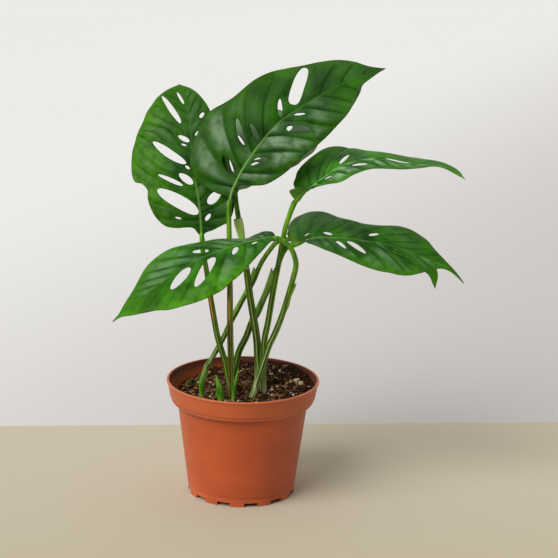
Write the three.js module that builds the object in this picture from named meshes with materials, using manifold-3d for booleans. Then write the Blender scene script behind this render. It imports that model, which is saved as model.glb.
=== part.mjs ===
// A swiss cheese vine in a plastic nursery pot.
// Millimetres, +Z up. The pot's axis is set off from the origin, which is the middle of the
// whole plant's spread on the surface that the pot stands on.
import * as THREE from 'three';
import { mergeVertices } from 'three/addons/utils/BufferGeometryUtils.js';
import Module from 'manifold-3d';

const wasm = await Module();
wasm.setup();

// Where the plant's middle lies, seen from the pot's axis.
const spreadMiddle = [45, 0];

// The pot, a six inch nursery pot: radii on its outside, heights from the surface below it.
const pot = {
  height: 116.3,
  lipRadius: 76,
  lipDepth: 2,
  collarTopRadius: 74.8,
  collarLowRadius: 71,
  collarLowHeight: 96,
  collarEdgeRadius: 67.5,
  collarEdgeHeight: 92,
  bodyTopRadius: 64.6,
  bodyFootRadius: 54,
  footRadius: 53.3,
  footInnerRadius: 50.9,
  footHeight: 8.5,
  floorUnderside: 6,
  floorTop: 7.8,
  wall: 1.6,
  lipRounding: 0.5,
  lipWidth: 2,
  bandRise: 3.5,
  bandWidth: 1.6,
  grooveDrop: 2.8,
  grooveDepth: 1.3,
  footStep: 0.9,
  sectors: 48,
};
const notches = { count: 12, width: 13.7, height: 4, firstAngle: 12 };
const drainHoles = { count: 8, radius: 4.5, ringRadius: 38, sides: 12 };
const cutDepth = 12;

// The soil's surface: its height at the pot's axis, its rise towards the back right, its bumps.
const soil = { middle: 99.5, rise: 9, bowl: 3, slopeX: 0.6, slopeY: 1, reach: 75, bump: 0.9 };
const soilRings = [78, 62, 46, 30, 15, 0];
const soilSectors = 24;
const seatGap = 0.3;

// The blades are about 0.4 mm thick on the plant and 1 mm here, so that they stay solid.
const bladeThickness = 1;
const bladeRows = 14;
const bladeColumns = 3;
const halfWidth = 50; // the curl is given over this distance from the rib
const baseHalf = 1.5; // half the blade's width where it starts on the rib
const tipHalf = 0.6;
const rowSpread = 1.6; // more than 1 sets the rows closer together near the base
const holeSides = 8;
const cutterDepth = 4;
const petioleSides = 8;
const petioleStep = 14;
const kneeLength = 5;
const pocketSteps = 4;
const stemSides = 6;

// The sheath's wing stands this share of the petiole's radius off its middle, more at its free
// tip, and is this thick at its ends.
const wing = { off: 0.75, tipOff: 1.15, startRadius: 0.6, endRadius: 0.9, steps: 9 };
const lumpTilt = 0.5; // radians
const lumpRaised = 0.3; // share of its half height

// Each blade is drawn flat and then bent. In the flat drawing, the first number is the distance
// along the rib from its base and the second is the distance out from it, for the left and the
// right half as seen from above. A hole is its two ends and its width, and a sixth number below
// 1 squares its ends. The rib is where the blade hangs, faces is the way that its upper side
// looks at the base, middle and tip, fold is the angle at which each half leaves the rib and
// curl how far it then bends, in degrees. lobeTurn is added to the fold near the base: for the
// left and the right half, and from where to where along the rib.
const leaves = {
  back_left: {
    rib: [
      [-43, 8, 260], [-46, 13, 290], [-51, 22, 316], [-55, 35, 340],
      [-57, 52, 364], [-64, 71, 381], [-71, 97, 394],
    ],
    faces: [[-0.12, -0.95, 0.3], [-0.1, -0.9, 0.45], [0, -0.45, 0.9]],
    fold: [[6, 4, 0], [16, 16, 10]],
    curl: [[-10, -20, -20], [-20, -30, -20]],
    margin: [
      [
        [3, 4], [8, 8], [9, 16], [9, 25], [12, 36], [22, 45], [35, 49], [47, 50], [54, 49],
        [61, 54], [66, 62], [80, 64], [99, 59], [126, 54], [146, 37], [157, 27], [166, 15],
      ],
      [
        [3, 5], [5, 12], [9, 21], [13, 29], [22, 34], [32, 36], [46, 36], [65, 33], [85, 31],
        [104, 26], [120, 22], [134, 19], [149, 15], [162, 9],
      ],
    ],
    holes: [
      [
        [117, 10, 159, 20, 5.6], [140, 1.5, 160, 4.5, 3], [95, 2, 102, 13, 5], [91, 5, 93, 10, 2],
        [73, 7, 98, 39, 7.8], [67, 4, 71, 8, 2.6], [52, 13, 67, 36, 4], [52, 3, 64, 15, 7],
        [22, 2, 53, 39, 13.5], [18, 19, 20, 25, 2],
      ],
      [[118, 10, 122, 15, 4], [101, 4, 105, 9, 3.4], [31, 9, 40, 24, 8.4], [15, 5, 21, 11, 4]],
    ],
    petiole: {
      path: [
        [-13, 6, 84], [-13, 6, 100], [-18, 5, 130], [-23, 5, 147], [-27, 5, 162],
        [-33, 5, 195], [-38, 6, 226], [-42, 7, 246],
      ],
      radii: [2.9, 2.9, 2.2],
    },
  },
  top: {
    rib: [
      [-16, 0, 296], [-13, 3, 309], [1, 8, 336], [27, 16, 369], [54, 20, 389], [90, 18, 411],
      [131, 8, 429],
    ],
    faces: [[-0.05, -0.9, 0.4], [0.05, -0.85, 0.5], [0.15, -0.8, 0.6]],
    fold: [[4, 3, 0], [28, 24, 12]],
    curl: [[-10, -20, -20], [-20, -28, -20]],
    margin: [
      [
        [5, 4], [6, 12], [8, 24], [11, 39], [17, 48], [28, 54], [42, 58], [56, 62], [65, 60],
        [74, 55], [85, 51], [101, 51], [113, 49], [124, 44], [138, 37], [153, 32], [167, 26],
        [181, 18], [193, 9], [204, 3],
      ],
      [
        [5, 3], [13, 5], [19, 6], [22, 11], [26, 20], [33, 30], [44, 36], [60, 41], [80, 43],
        [105, 44], [124, 42], [145, 37], [160, 32], [173, 25], [181, 17], [185, 10], [193, 6],
        [203, 2],
      ],
    ],
    holes: [
      [
        [113, 7, 140, 33, 12.5, 0.7], [97, 3, 106, 19, 4.2], [27, 4, 36, 23, 8], [53, 10, 70, 34, 5.8],
        [67, 4, 74, 20, 4.8],
      ],
      [[109, 3, 119, 9, 2.6], [94, 11, 115, 27, 9.5], [43, 6, 58, 17, 9]],
    ],
    petiole: {
      path: [
        [-11, -6, 82], [-11, -6, 113], [-13, -6, 156], [-14, -6, 199], [-15, -5, 239],
        [-16, -3, 269],
      ],
      radii: [3.3, 3, 2.3],
    },
  },
  front_left: {
    rib: [
      [29, -14, 264.5], [22, -18.5, 266.5], [13, -23.5, 265.5], [-9, -36, 262], [-38, -51, 254],
      [-57, -62, 245], [-80, -73, 231], [-108, -84, 211], [-122, -89, 199],
    ],
    faces: [[-0.1, -0.25, 0.95], [-0.15, -0.6, 0.8], [-0.3, -0.6, 0.7]],
    fold: [[-6, 6, 4], [-30, -4, 4]],
    curl: [[-15, -22, -22], [-15, -22, -22]],
    lobeTurn: [0, 48, -8, 24],
    margin: [
      [
        [4, 5], [14, 11], [28, 20], [45, 30], [59, 37], [73, 41], [87, 44], [102, 43], [116, 40],
        [129, 35], [139, 30], [148, 23], [158, 17], [169, 10], [178, 3],
      ],
      [
        [-2, 4], [-3, 8], [-2, 12], [3, 14], [10, 15], [16, 19], [24, 23], [37, 26], [53, 28], [69, 28],
        [81, 30], [93, 34], [106, 34], [118, 32], [130, 27], [141, 20], [153, 13], [166, 7],
        [177, 2],
      ],
    ],
    holes: [
      [[70, 6, 106, 26, 10.5], [97, 3, 125, 13, 10], [44, 3, 53, 11, 5], [22, 3, 29, 5, 2.5]],
      [[70, 6, 83, 14, 6.5], [10, 5, 15, 9, 1.6]],
    ],
    petiole: {
      path: [
        [7, -9, 86], [9, -8, 99], [12, -8, 107], [15, -7, 119], [20, -6, 135], [25, -6, 152],
        [31, -6, 166], [37, -7, 183], [42, -8, 201], [47, -9, 221], [50, -10, 237],
        [47.5, -12, 248.5], [43.5, -13, 256], [39, -12, 260],
      ],
      radii: [3.2, 3, 2.3],
      sheath: { from: 0.34, to: 0.64, beside: [0.9, -0.4], radius: 1.8 },
    },
  },
  upper_right: {
    rib: [
      [49.5, 0, 300], [54, -0.7, 306], [60, -1.5, 311], [66, -2.5, 316], [73, -4, 322],
      [93, -8, 337], [122, -13, 345], [154, -19, 341], [184, -25, 342], [209, -32, 331],
    ],
    faces: [[0, -0.55, 0.85], [0.05, -0.08, 1], [0.2, 0, 1]],
    fold: [[16, 6, 14], [55, -10, 12]],
    curl: [[-12, -14, -8], [-10, -14, -8]],
    lobeTurn: [0, 55, 1, 26],
    margin: [
      [
        [1, 3], [4, 6], [6, 11], [7, 15], [10, 20], [13, 26], [18, 31], [24, 36], [30, 41],
        [38, 46], [46, 48], [54, 45], [62, 39], [71, 31], [82, 24], [94, 23], [106, 28],
        [115, 31], [125, 30], [136, 22], [146, 15], [156, 12], [166, 11], [173, 8], [177, 3],
      ],
      [
        [0, 5], [2, 10], [4, 14], [6, 14], [9, 12], [13, 11], [17, 13], [21, 16], [26, 19],
        [32, 22], [38, 25], [46, 31], [54, 36], [62, 35], [72, 28], [84, 22], [98, 18],
        [112, 13], [126, 9], [138, 8], [148, 5], [160, 3], [172, 1.5],
      ],
    ],
    holes: [
      [[55, 5, 63, 19, 5.6], [99, 5, 125, 7, 4.5]],
      [[68, 8, 84, 11, 4.5], [37, 8, 47, 15, 3.5]],
    ],
    petiole: {
      path: [
        [21, 2, 84], [21, 2, 94], [20, 3, 114], [20, 5, 145], [21, 6, 158], [24, 6, 175],
        [27, 5, 197], [30, 4, 217], [34, 2, 241], [36, 1, 256], [39, 0, 272], [43, 0, 286],
      ],
      radii: [3.4, 3, 2.3],
    },
  },
  lower_right: {
    rib: [
      [46, 3, 254], [54, 2, 257], [61, 1, 260], [75, -1, 263], [105, -6, 263], [143, -13, 259],
      [175, -21, 249], [197, -28, 242], [212, -34, 229],
    ],
    faces: [[0, -0.1, 1], [0, -0.33, 0.94], [0.2, -0.5, 0.85]],
    fold: [[18, 6, 8], [20, -4, 8]],
    curl: [[-15, -20, -18], [-15, -20, -18]],
    lobeTurn: [0, 75, 0, 20],
    margin: [
      [
        [-2, 8], [-4, 19], [-5, 32], [-4, 44], [-1, 54], [5, 60], [14, 62], [24, 58], [33, 51],
        [43, 42], [53, 36], [63, 33], [73, 32], [84, 32], [97, 36], [107, 36], [117, 33], [127, 28],
        [137, 19], [147, 11], [159, 4], [174, 1.5],
      ],
      [
        [0, 4], [-1, 8], [-1, 13], [3, 13], [7, 12], [10, 12], [13, 14], [17, 16], [22, 20],
        [28, 24], [39, 28], [51, 31], [62, 33], [74, 35], [86, 36], [98, 36], [109, 34], [119, 32],
        [129, 27], [137, 20], [144, 13], [152, 6], [160, 3], [171, 1],
      ],
    ],
    holes: [
      [[40, 5, 31, 9, 4], [75, 10, 84, 15, 4.5], [90, 6, 94, 9, 2.2], [13, 8, 18, 11, 2.2]],
      [
        [45, 6, 57, 18, 4.5], [56, 4, 77, 19, 6], [99, 4, 130, 14, 6.4], [77, 5, 81, 7, 2],
        [22, 9, 30, 11, 1.6],
      ],
    ],
    petiole: {
      path: [
        [-10, 24, 84], [-10, 24, 101], [-9, 24, 117], [-5, 23, 137], [2, 22, 153], [8, 20, 171],
        [13, 19, 179], [19, 17, 195], [27, 14, 214], [32, 11, 229], [36, 8, 242],
      ],
      radii: [3.4, 3.2, 2.2],
      sheath: { from: 0.45, to: 0.77, beside: [-0.9, -0.4], radius: 2 },
    },
  },
  behind_top: {
    rib: [
      [-10, 24, 303], [-5, 30, 320], [6, 36, 338], [23, 42, 350], [41, 48, 357], [61, 52, 359],
      [78, 54, 360],
    ],
    faces: [[-0.05, -0.9, 0.4], [0.05, -0.88, 0.45], [0.2, -0.8, 0.5]],
    fold: [[-6, -8, -4], [6, 8, 4]],
    curl: [[-12, -20, -16], [-12, -20, -16]],
    margin: [
      [
        [3, 6], [7, 12], [13, 19], [22, 28], [32, 37], [42, 44], [53, 48], [63, 46], [74, 36],
        [86, 23], [98, 12], [110, 5],
      ],
      [
        [2, 5], [6, 12], [19, 22], [40, 30], [63, 34], [83, 33], [98, 27], [107, 20], [114, 9],
      ],
    ],
    holes: [
      [[16, 8, 24, 17, 1.8], [41, 13, 43, 25, 1.6], [80, 3, 87, 6, 4.5]],
      [[29, 5, 36, 10, 2.2], [35, 4, 42, 9, 1.6]],
    ],
    petiole: {
      path: [
        [15, 14, 88], [15, 14, 105], [15, 13, 119], [14, 11, 138], [13, 9, 154], [10, 7, 174],
        [6, 6, 196], [1, 9, 229], [-4, 14, 260], [-8, 18, 279],
      ],
      radii: [3.8, 3.5, 2.2],
      sheath: { from: 0.6, to: 0.82, beside: [-0.6, -0.8], radius: 2 },
    },
  },
  under_right: {
    rib: [
      [123, 24, 251], [135, 22, 248], [149, 18, 244], [162, 11, 240], [175, 4, 235],
      [184, -2, 228], [187, -4, 215],
    ],
    faces: [[0, -0.5, 0.85], [0.1, -0.55, 0.8], [0.7, -0.55, 0.4]],
    fold: [[8, 4, 8], [8, 4, 8]],
    curl: [[-12, -16, -12], [-12, -16, -12]],
    margin: [
      [[1, 6], [4, 13], [13, 18], [24, 20], [34, 20], [47, 16], [59, 12], [70, 8], [79, 4]],
      [[3, 5], [12, 13], [25, 15], [40, 13], [49, 9], [58, 6], [68, 5], [77, 4]],
    ],
    holes: [[[24, 4, 31, 12, 4]], [[26, 4, 34, 9, 3]]],
    petiole: {
      path: [
        [-41, 38.5, 84], [-40, 40, 98], [-38.8, 41, 112], [-34, 39, 122],
        [-28, 36, 134], [-21, 31, 149], [-15, 27, 164], [-8, 23, 179], [-2, 20.5, 192],
        [8, 20, 211], [15, 20, 229],
        [24, 20, 244], [31, 21, 252], [40, 24, 254], [52, 27, 254], [68, 28, 253],
        [85, 28, 254], [101, 27, 255],
      ],
      radii: [2.9, 2.5, 2],
      sheath: { from: 0.2, to: 0.5, beside: [-0.9, -0.3], radius: 1.6 },
    },
  },
};

// Young shoots: a path up from below the soil and the radii along it.
const shoots = [
  { path: [[-41, -4, 86], [-41, -4, 99], [-41, -4, 114], [-38.5, -3, 126]], radii: [1.4, 2.1, 2.8, 0.5] },
  { path: [[-21, -12, 82], [-21, -12, 96], [-23, -12, 110], [-27, -11, 123]], radii: [2, 3.7, 3.4, 0.4] },
  { path: [[-9, -15, 84], [-9, -15, 98], [-7.6, -15, 114], [-4.2, -14, 131.5]], radii: [1.8, 2, 1.7, 0.3] },
  { path: [[-26, -8, 88], [-26, -8, 98], [-26, -8, 104]], radii: [1.2, 1.3, 0.4] },
];

// Loose things on the soil: where the middle lies, half sizes along X, Y and Z, turn about Z.
const perlite = [
  { at: [54, 22], half: [3.4, 2.8, 2.4], turn: 20 },
  { at: [58, 14], half: [2.6, 2.4, 2.2], turn: 70 },
  { at: [29, 8], half: [2, 1.8, 1.6], turn: 10 },
  { at: [44, 9], half: [1.9, 1.7, 1.5], turn: 50 },
  { at: [28, 42], half: [2, 1.6, 1.5], turn: 30 },
  { at: [37, 46], half: [1.8, 1.7, 1.4], turn: 80 },
  { at: [33, 28], half: [1.7, 1.6, 1.3], turn: 0 },
  { at: [-33, 30], half: [1.9, 1.7, 1.5], turn: 40 },
  { at: [-18, 40], half: [1.8, 1.6, 1.4], turn: 15 },
];
const barkChips = [
  { at: [33, -8], half: [4.5, 2.6, 1.8], turn: 25 },
  { at: [45, 0], half: [3.4, 2.2, 1.6], turn: -30 },
  { at: [-34, 22], half: [3.6, 2.4, 1.6], turn: 60 },
  { at: [-24, 50], half: [3.8, 2.4, 1.6], turn: -20 },
  { at: [42, 52], half: [4, 2.4, 1.6], turn: 35 },
];
const fibreTuft = { at: [4, 22], half: [6, 5, 4], turn: 0 };
const strand = {
  path: [[-49, 33, 90], [-49, 33, 101], [-45, 32, 107], [-42, 30, 112]],
  radii: [1, 0.9, 0.6],
  steps: 8,
};
const oldLeaf = {
  rib: [[-58, 21, 101], [-52, 23, 102], [-46, 24, 101]],
  faces: [[0, -0.6, 0.8], [0, -0.6, 0.8], [0, -0.6, 0.8]],
  fold: [[15, 15, 15], [15, 15, 15]],
  curl: [[500, 500, 500], [500, 500, 500]],
  margin: [[[3, 4], [8, 5]], [[3, 4], [8, 4.5]]],
  holes: [[], []],
  rows: 6,
};

const colours = {
  pot: 0xb85a32,
  soil: 0x3a281a,
  blade: 0x2d6919,
  petiole: 0x4f7a2a,
  shoot: 0x5fa032,
  strand: 0xa8a850,
  oldLeaf: 0x6a5a30,
  perlite: 0xd7cdaa,
  bark: 0x6b4428,
  fibre: 0x8a6a42,
};

function finish(colour, roughness) {
  return new THREE.MeshStandardMaterial({ color: colour, roughness, metalness: 0 });
}

// Closed geometry into a solid, its doubled points merged and its empty triangles left out.
function toSolid(geometry) {
  const bare = geometry.clone();
  bare.deleteAttribute('normal');
  bare.deleteAttribute('uv');
  const merged = mergeVertices(bare, 1e-4);
  const index = Array.from(merged.index.array);
  const kept = [];
  for (let i = 0; i < index.length; i += 3) {
    const [a, b, c] = index.slice(i, i + 3);
    if (a !== b && b !== c && c !== a) kept.push(a, b, c);
  }
  const mesh = new wasm.Mesh({
    numProp: 3,
    vertProperties: new Float32Array(merged.attributes.position.array),
    triVerts: new Uint32Array(kept),
  });
  return new wasm.Manifold(mesh);
}

function toGeometry(solid) {
  const mesh = solid.getMesh();
  const geometry = new THREE.BufferGeometry();
  geometry.setAttribute('position', new THREE.BufferAttribute(mesh.vertProperties, 3));
  geometry.setIndex(new THREE.BufferAttribute(mesh.triVerts, 1));
  return geometry;
}

function indexed(points, triangles) {
  const geometry = new THREE.BufferGeometry();
  geometry.setAttribute('position', new THREE.Float32BufferAttribute(points, 3));
  geometry.setIndex(triangles);
  return geometry;
}

function smoothCurve(points) {
  const knots = points.map((p) => new THREE.Vector3(p[0], p[1], p[2] ?? 0));
  return new THREE.CatmullRomCurve3(knots, false, 'catmullrom', 0.5);
}

// The value between base, middle and tip at a share of the way, on one smooth curve.
function between(values, share) {
  const u = THREE.MathUtils.clamp(share, 0, 1);
  return values[0] * (1 - u) * (1 - 2 * u) + values[1] * 4 * u * (1 - u) + values[2] * u * (2 * u - 1);
}

// A stem, round in section, that follows a curve with a changing radius.
function stem(curve, radiusAt, steps, sides) {
  const ring = new THREE.Shape();
  ring.absarc(0, 0, 1, 0, 2 * Math.PI, false);
  const geometry = new THREE.ExtrudeGeometry(ring, {
    steps,
    curveSegments: sides / 2,
    bevelEnabled: false,
    extrudePath: curve,
  });
  const centres = curve.getSpacedPoints(steps);
  const position = geometry.attributes.position;
  const point = new THREE.Vector3();
  for (let i = 0; i < position.count; i += 1) {
    point.fromBufferAttribute(position, i);
    let nearest = 0;
    centres.forEach((centre, k) => {
      if (centre.distanceTo(point) < centres[nearest].distanceTo(point)) nearest = k;
    });
    const centre = centres[nearest];
    point.sub(centre).multiplyScalar(radiusAt(nearest / steps)).add(centre);
    position.setXYZ(i, point.x, point.y, point.z);
  }
  return toSolid(geometry);
}

// The radius at a share of the way, in a straight line from one listed value to the next.
function steppedRadius(radii) {
  const last = radii.length - 1;
  return (share) => {
    const k = Math.min(Math.floor(share * last), last - 1);
    return THREE.MathUtils.lerp(radii[k], radii[k + 1], share * last - k);
  };
}

// Turns a flat blade point into its place in space, lifted by height off the blade's middle layer.
class Blade {
  constructor(leaf) {
    this.leaf = leaf;
    this.rib = smoothCurve(leaf.rib);
    this.length = this.rib.getLength();
  }

  ribPoint(x) {
    const inside = THREE.MathUtils.clamp(x, 0, this.length);
    const point = this.rib.getPointAt(inside / this.length);
    return point.addScaledVector(this.along(inside), x - inside);
  }

  along(x) {
    const reach = 0.02 * this.length;
    const inside = THREE.MathUtils.clamp(x, 0, this.length);
    const ahead = this.rib.getPointAt(Math.min(inside + reach, this.length) / this.length);
    const behind = this.rib.getPointAt(Math.max(inside - reach, 0) / this.length);
    return ahead.sub(behind).normalize();
  }

  at(side, x, y, height) {
    const { faces, fold, curl, lobeTurn = [0, 0, 0, 1] } = this.leaf;
    const k = side < 0 ? 0 : 1;
    const share = x / this.length;
    const ahead = this.along(x);
    const up = new THREE.Vector3(
      between(faces.map((f) => f[0]), share),
      between(faces.map((f) => f[1]), share),
      between(faces.map((f) => f[2]), share),
    );
    up.addScaledVector(ahead, -up.dot(ahead)).normalize();
    const out = new THREE.Vector3().crossVectors(ahead, up).multiplyScalar(side);
    const more = lobeTurn[k] * (1 - THREE.MathUtils.smoothstep(x, lobeTurn[2], lobeTurn[3]));
    const start = THREE.MathUtils.degToRad(between(fold[k], share) + more);
    const bend = THREE.MathUtils.degToRad(between(curl[k], share)) / halfWidth;
    const end = start + bend * y;
    return this.ribPoint(x)
      .addScaledVector(out, (Math.sin(end) - Math.sin(start)) / bend - height * Math.sin(end))
      .addScaledVector(up, (Math.cos(start) - Math.cos(end)) / bend + height * Math.cos(end));
  }
}

// The blade as a thin bent plate: rows fan out from the rib to both margins.
function bladePlate(blade) {
  const { margin } = blade.leaf;
  const tip = [blade.length, tipHalf];
  const edges = margin.map((side) => smoothCurve([[0, baseHalf], ...side, tip]));
  const perRow = 2 * bladeColumns + 1;
  const rows = blade.leaf.rows ?? bladeRows;
  const layers = [bladeThickness / 2, -bladeThickness / 2];
  const points = [];
  for (const height of layers) {
    for (let row = 0; row <= rows; row += 1) {
      const share = row / rows;
      const root = blade.length * share ** rowSpread;
      for (let column = -bladeColumns; column <= bladeColumns; column += 1) {
        const side = column < 0 ? -1 : 1;
        const edge = edges[side < 0 ? 0 : 1].getPointAt(share);
        const reach = Math.abs(column) / bladeColumns;
        const x = THREE.MathUtils.lerp(root, edge.x, reach);
        const point = blade.at(side, x, edge.y * reach, height);
        if (column === 0) point.add(blade.at(-1, x, 0, height)).multiplyScalar(0.5);
        points.push(point.x, point.y, point.z);
      }
    }
  }
  const under = (rows + 1) * perRow;
  const triangles = [];
  const quad = (a, b, c, d) => triangles.push(a, b, c, a, c, d);
  for (let row = 0; row < rows; row += 1) {
    for (let column = 0; column < perRow - 1; column += 1) {
      const a = row * perRow + column;
      quad(a, a + 1, a + perRow + 1, a + perRow);
      quad(under + a, under + a + perRow, under + a + perRow + 1, under + a + 1);
    }
    const left = row * perRow;
    const right = left + perRow - 1;
    quad(left, left + perRow, under + left + perRow, under + left);
    quad(right, under + right, under + right + perRow, right + perRow);
  }
  const last = rows * perRow;
  for (let column = 0; column < perRow - 1; column += 1) {
    quad(column, under + column, under + column + 1, column + 1);
    quad(last + column, last + column + 1, under + last + column + 1, under + last + column);
  }
  return toSolid(indexed(points, triangles));
}

function squarer(value, power) {
  return Math.sign(value) * Math.abs(value) ** power;
}

// A cutter for one hole: an oval right through the bent blade. A power below 1 squares its ends.
function holeCutter(blade, side, [fromX, fromY, toX, toY, width, power = 1]) {
  const length = Math.hypot(toX - fromX, toY - fromY);
  const across = [-(toY - fromY) / length, (toX - fromX) / length];
  const outline = [];
  for (let i = 0; i < holeSides; i += 1) {
    const turn = (2 * Math.PI * i) / holeSides;
    const along = (1 - squarer(Math.cos(turn), power)) / 2;
    const off = (width / 2) * squarer(Math.sin(turn), power);
    outline.push([
      THREE.MathUtils.lerp(fromX, toX, along) + across[0] * off,
      THREE.MathUtils.lerp(fromY, toY, along) + across[1] * off,
    ]);
  }
  const middle = [(fromX + toX) / 2, (fromY + toY) / 2];
  const points = [];
  for (const height of [cutterDepth, -cutterDepth]) {
    for (const [x, y] of [...outline, middle]) points.push(...blade.at(side, x, y, height).toArray());
  }
  const below = holeSides + 1;
  const triangles = [];
  for (let i = 0; i < holeSides; i += 1) {
    const next = (i + 1) % holeSides;
    triangles.push(holeSides, i, next, below + holeSides, below + next, below + i);
    triangles.push(i, below + i, below + next, i, below + next, next);
  }
  const facingOut = side < 0 ? triangles.reverse() : triangles;
  return toSolid(indexed(points, facingOut));
}

function bladeSolid(blade) {
  const plate = bladePlate(blade);
  const cutters = [-1, 1].flatMap((side) => (
    blade.leaf.holes[side < 0 ? 0 : 1].map((hole) => holeCutter(blade, side, hole))
  ));
  return cutters.reduce((solid, cutter) => solid.subtract(cutter), plate);
}

// A petiole ends in a short knee that lines up with the blade's rib.
function petioleCurve(blade) {
  const base = blade.ribPoint(0);
  const ahead = blade.along(0);
  const knee = base.clone().addScaledVector(ahead, -kneeLength);
  const end = base.clone().addScaledVector(ahead, -seatGap);
  return smoothCurve([...blade.leaf.petiole.path, knee.toArray(), end.toArray()]);
}

function petioleSolid(blade) {
  const { radii, sheath } = blade.leaf.petiole;
  const curve = petioleCurve(blade);
  const steps = Math.round(curve.getLength() / petioleStep);
  const stalk = stem(curve, (share) => between(radii, share), steps, petioleSides);
  if (!sheath) return stalk;
  const beside = new THREE.Vector3(...sheath.beside, 0).normalize();
  const points = [0, 0.25, 0.5, 0.75, 1].map((share) => {
    const place = THREE.MathUtils.lerp(sheath.from, sheath.to, share);
    const off = between(radii, place) * (share < 1 ? wing.off : wing.tipOff);
    return curve.getPointAt(place).addScaledVector(beside, off).toArray();
  });
  const radiusAt = steppedRadius([wing.startRadius, sheath.radius, sheath.radius, wing.endRadius]);
  return stalk.add(stem(smoothCurve(points), radiusAt, wing.steps, stemSides));
}

// A socket in the soil that keeps the seat gap round a planted stem.
function pocket(path, radius) {
  const [foot, ...rest] = path.slice(0, 3);
  const curve = smoothCurve([[foot[0], foot[1], foot[2] - seatGap], ...rest]);
  return stem(curve, () => radius + seatGap, pocketSteps, petioleSides);
}

// A profile of radii and heights turned about the pot's axis.
function turned(profile, sectors) {
  const points = profile.map(([r, z]) => new THREE.Vector2(r, z));
  const geometry = new THREE.LatheGeometry(points, sectors);
  return geometry.rotateX(Math.PI / 2);
}

// The pot's inner wall from the lip down, drawn in from it by a gap.
function insideProfile(gap) {
  const { wall, lipRounding: rounding } = pot;
  const ledge = pot.collarEdgeHeight + wall;
  return [
    [pot.collarTopRadius - wall - gap, pot.height - pot.lipDepth],
    [pot.collarLowRadius - gap, pot.collarLowHeight + pot.bandRise + gap],
    [pot.collarLowRadius - wall - gap, pot.collarLowHeight + rounding + gap],
    [pot.collarEdgeRadius - 2 * rounding - gap, ledge + rounding + gap],
    [pot.bodyTopRadius - wall - gap, ledge - rounding + gap],
    [pot.bodyFootRadius - wall - gap, pot.floorTop + 2 * rounding + gap],
    [pot.bodyFootRadius - wall - 2 * rounding - gap, pot.floorTop + gap],
    [0, pot.floorTop + gap],
  ];
}

function potSolid() {
  const top = pot.height;
  const profile = [
    [0, pot.floorUnderside],
    [pot.footInnerRadius, pot.floorUnderside],
    [pot.footInnerRadius, 0],
    [pot.footRadius, 0],
    [pot.footRadius, pot.footHeight],
    [pot.bodyFootRadius, pot.footHeight + pot.footStep],
    [pot.bodyTopRadius, pot.collarEdgeHeight - pot.lipRounding],
    [pot.collarEdgeRadius, pot.collarEdgeHeight],
    [pot.collarLowRadius - pot.grooveDepth, pot.collarLowHeight - pot.grooveDrop],
    [pot.collarLowRadius, pot.collarLowHeight],
    [pot.collarLowRadius + pot.bandWidth, pot.collarLowHeight + pot.bandRise],
    [pot.collarTopRadius, top - pot.lipDepth],
    [pot.lipRadius, top - pot.lipDepth / 2],
    [pot.lipRadius - pot.lipRounding, top],
    [pot.lipRadius - pot.lipWidth, top],
    ...insideProfile(0),
  ];
  let solid = toSolid(turned(profile, pot.sectors));
  for (let i = 0; i < notches.count; i += 1) {
    const angle = THREE.MathUtils.degToRad(notches.firstAngle + (i * 360) / notches.count);
    const box = new THREE.BoxGeometry(notches.width, cutDepth, 2 * notches.height);
    box.translate(0, -pot.footRadius, 0).rotateZ(angle);
    solid = solid.subtract(toSolid(box));
  }
  for (let i = 0; i < drainHoles.count; i += 1) {
    const angle = (2 * Math.PI * i) / drainHoles.count;
    const { radius, ringRadius, sides } = drainHoles;
    const drill = new THREE.CylinderGeometry(radius, radius, cutDepth, sides);
    drill.rotateX(Math.PI / 2).translate(ringRadius, 0, pot.floorUnderside).rotateZ(angle);
    solid = solid.subtract(toSolid(drill));
  }
  return solid;
}

function soilHeight(x, y) {
  const uphill = (soil.slopeX * x + soil.slopeY * y) / soil.reach;
  const bumps = Math.sin(x / 6) * Math.cos(y / 8) + 0.6 * Math.sin(y / 5 + x / 11);
  return soil.middle + soil.rise * uphill + soil.bowl * uphill ** 2 + soil.bump * bumps;
}

// The mix fills the pot to its uneven surface.
function soilSolid() {
  const profile = [[0, 0], [soilRings[0], 0], ...soilRings.map((r) => [r, soil.middle])];
  const column = turned(profile, soilSectors);
  const position = column.attributes.position;
  for (let i = 0; i < position.count; i += 1) {
    if (position.getZ(i) > 0) position.setZ(i, soilHeight(position.getX(i), position.getY(i)));
  }
  const cavity = turned([...insideProfile(seatGap).reverse(), [0, pot.height]], pot.sectors / 2);
  return toSolid(column).intersect(toSolid(cavity));
}

// A rough lump that sits part way into the soil, grown all round by a gap.
function lump({ at, half, turn }, gap) {
  const geometry = new THREE.IcosahedronGeometry(1, 0);
  const [x, y] = at;
  geometry.scale(half[0] + gap, half[1] + gap, half[2] + gap);
  geometry.rotateX(lumpTilt).rotateZ(THREE.MathUtils.degToRad(turn));
  geometry.translate(x, y, soilHeight(x, y) + lumpRaised * half[2]);
  return toSolid(geometry);
}

const plant = new THREE.Group();
plant.position.set(-spreadMiddle[0], -spreadMiddle[1], 0);

function place(name, solid, material) {
  const mesh = new THREE.Mesh(toGeometry(solid), material);
  mesh.name = name;
  plant.add(mesh);
}

place('pot', potSolid(), finish(colours.pot, 0.5));

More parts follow.
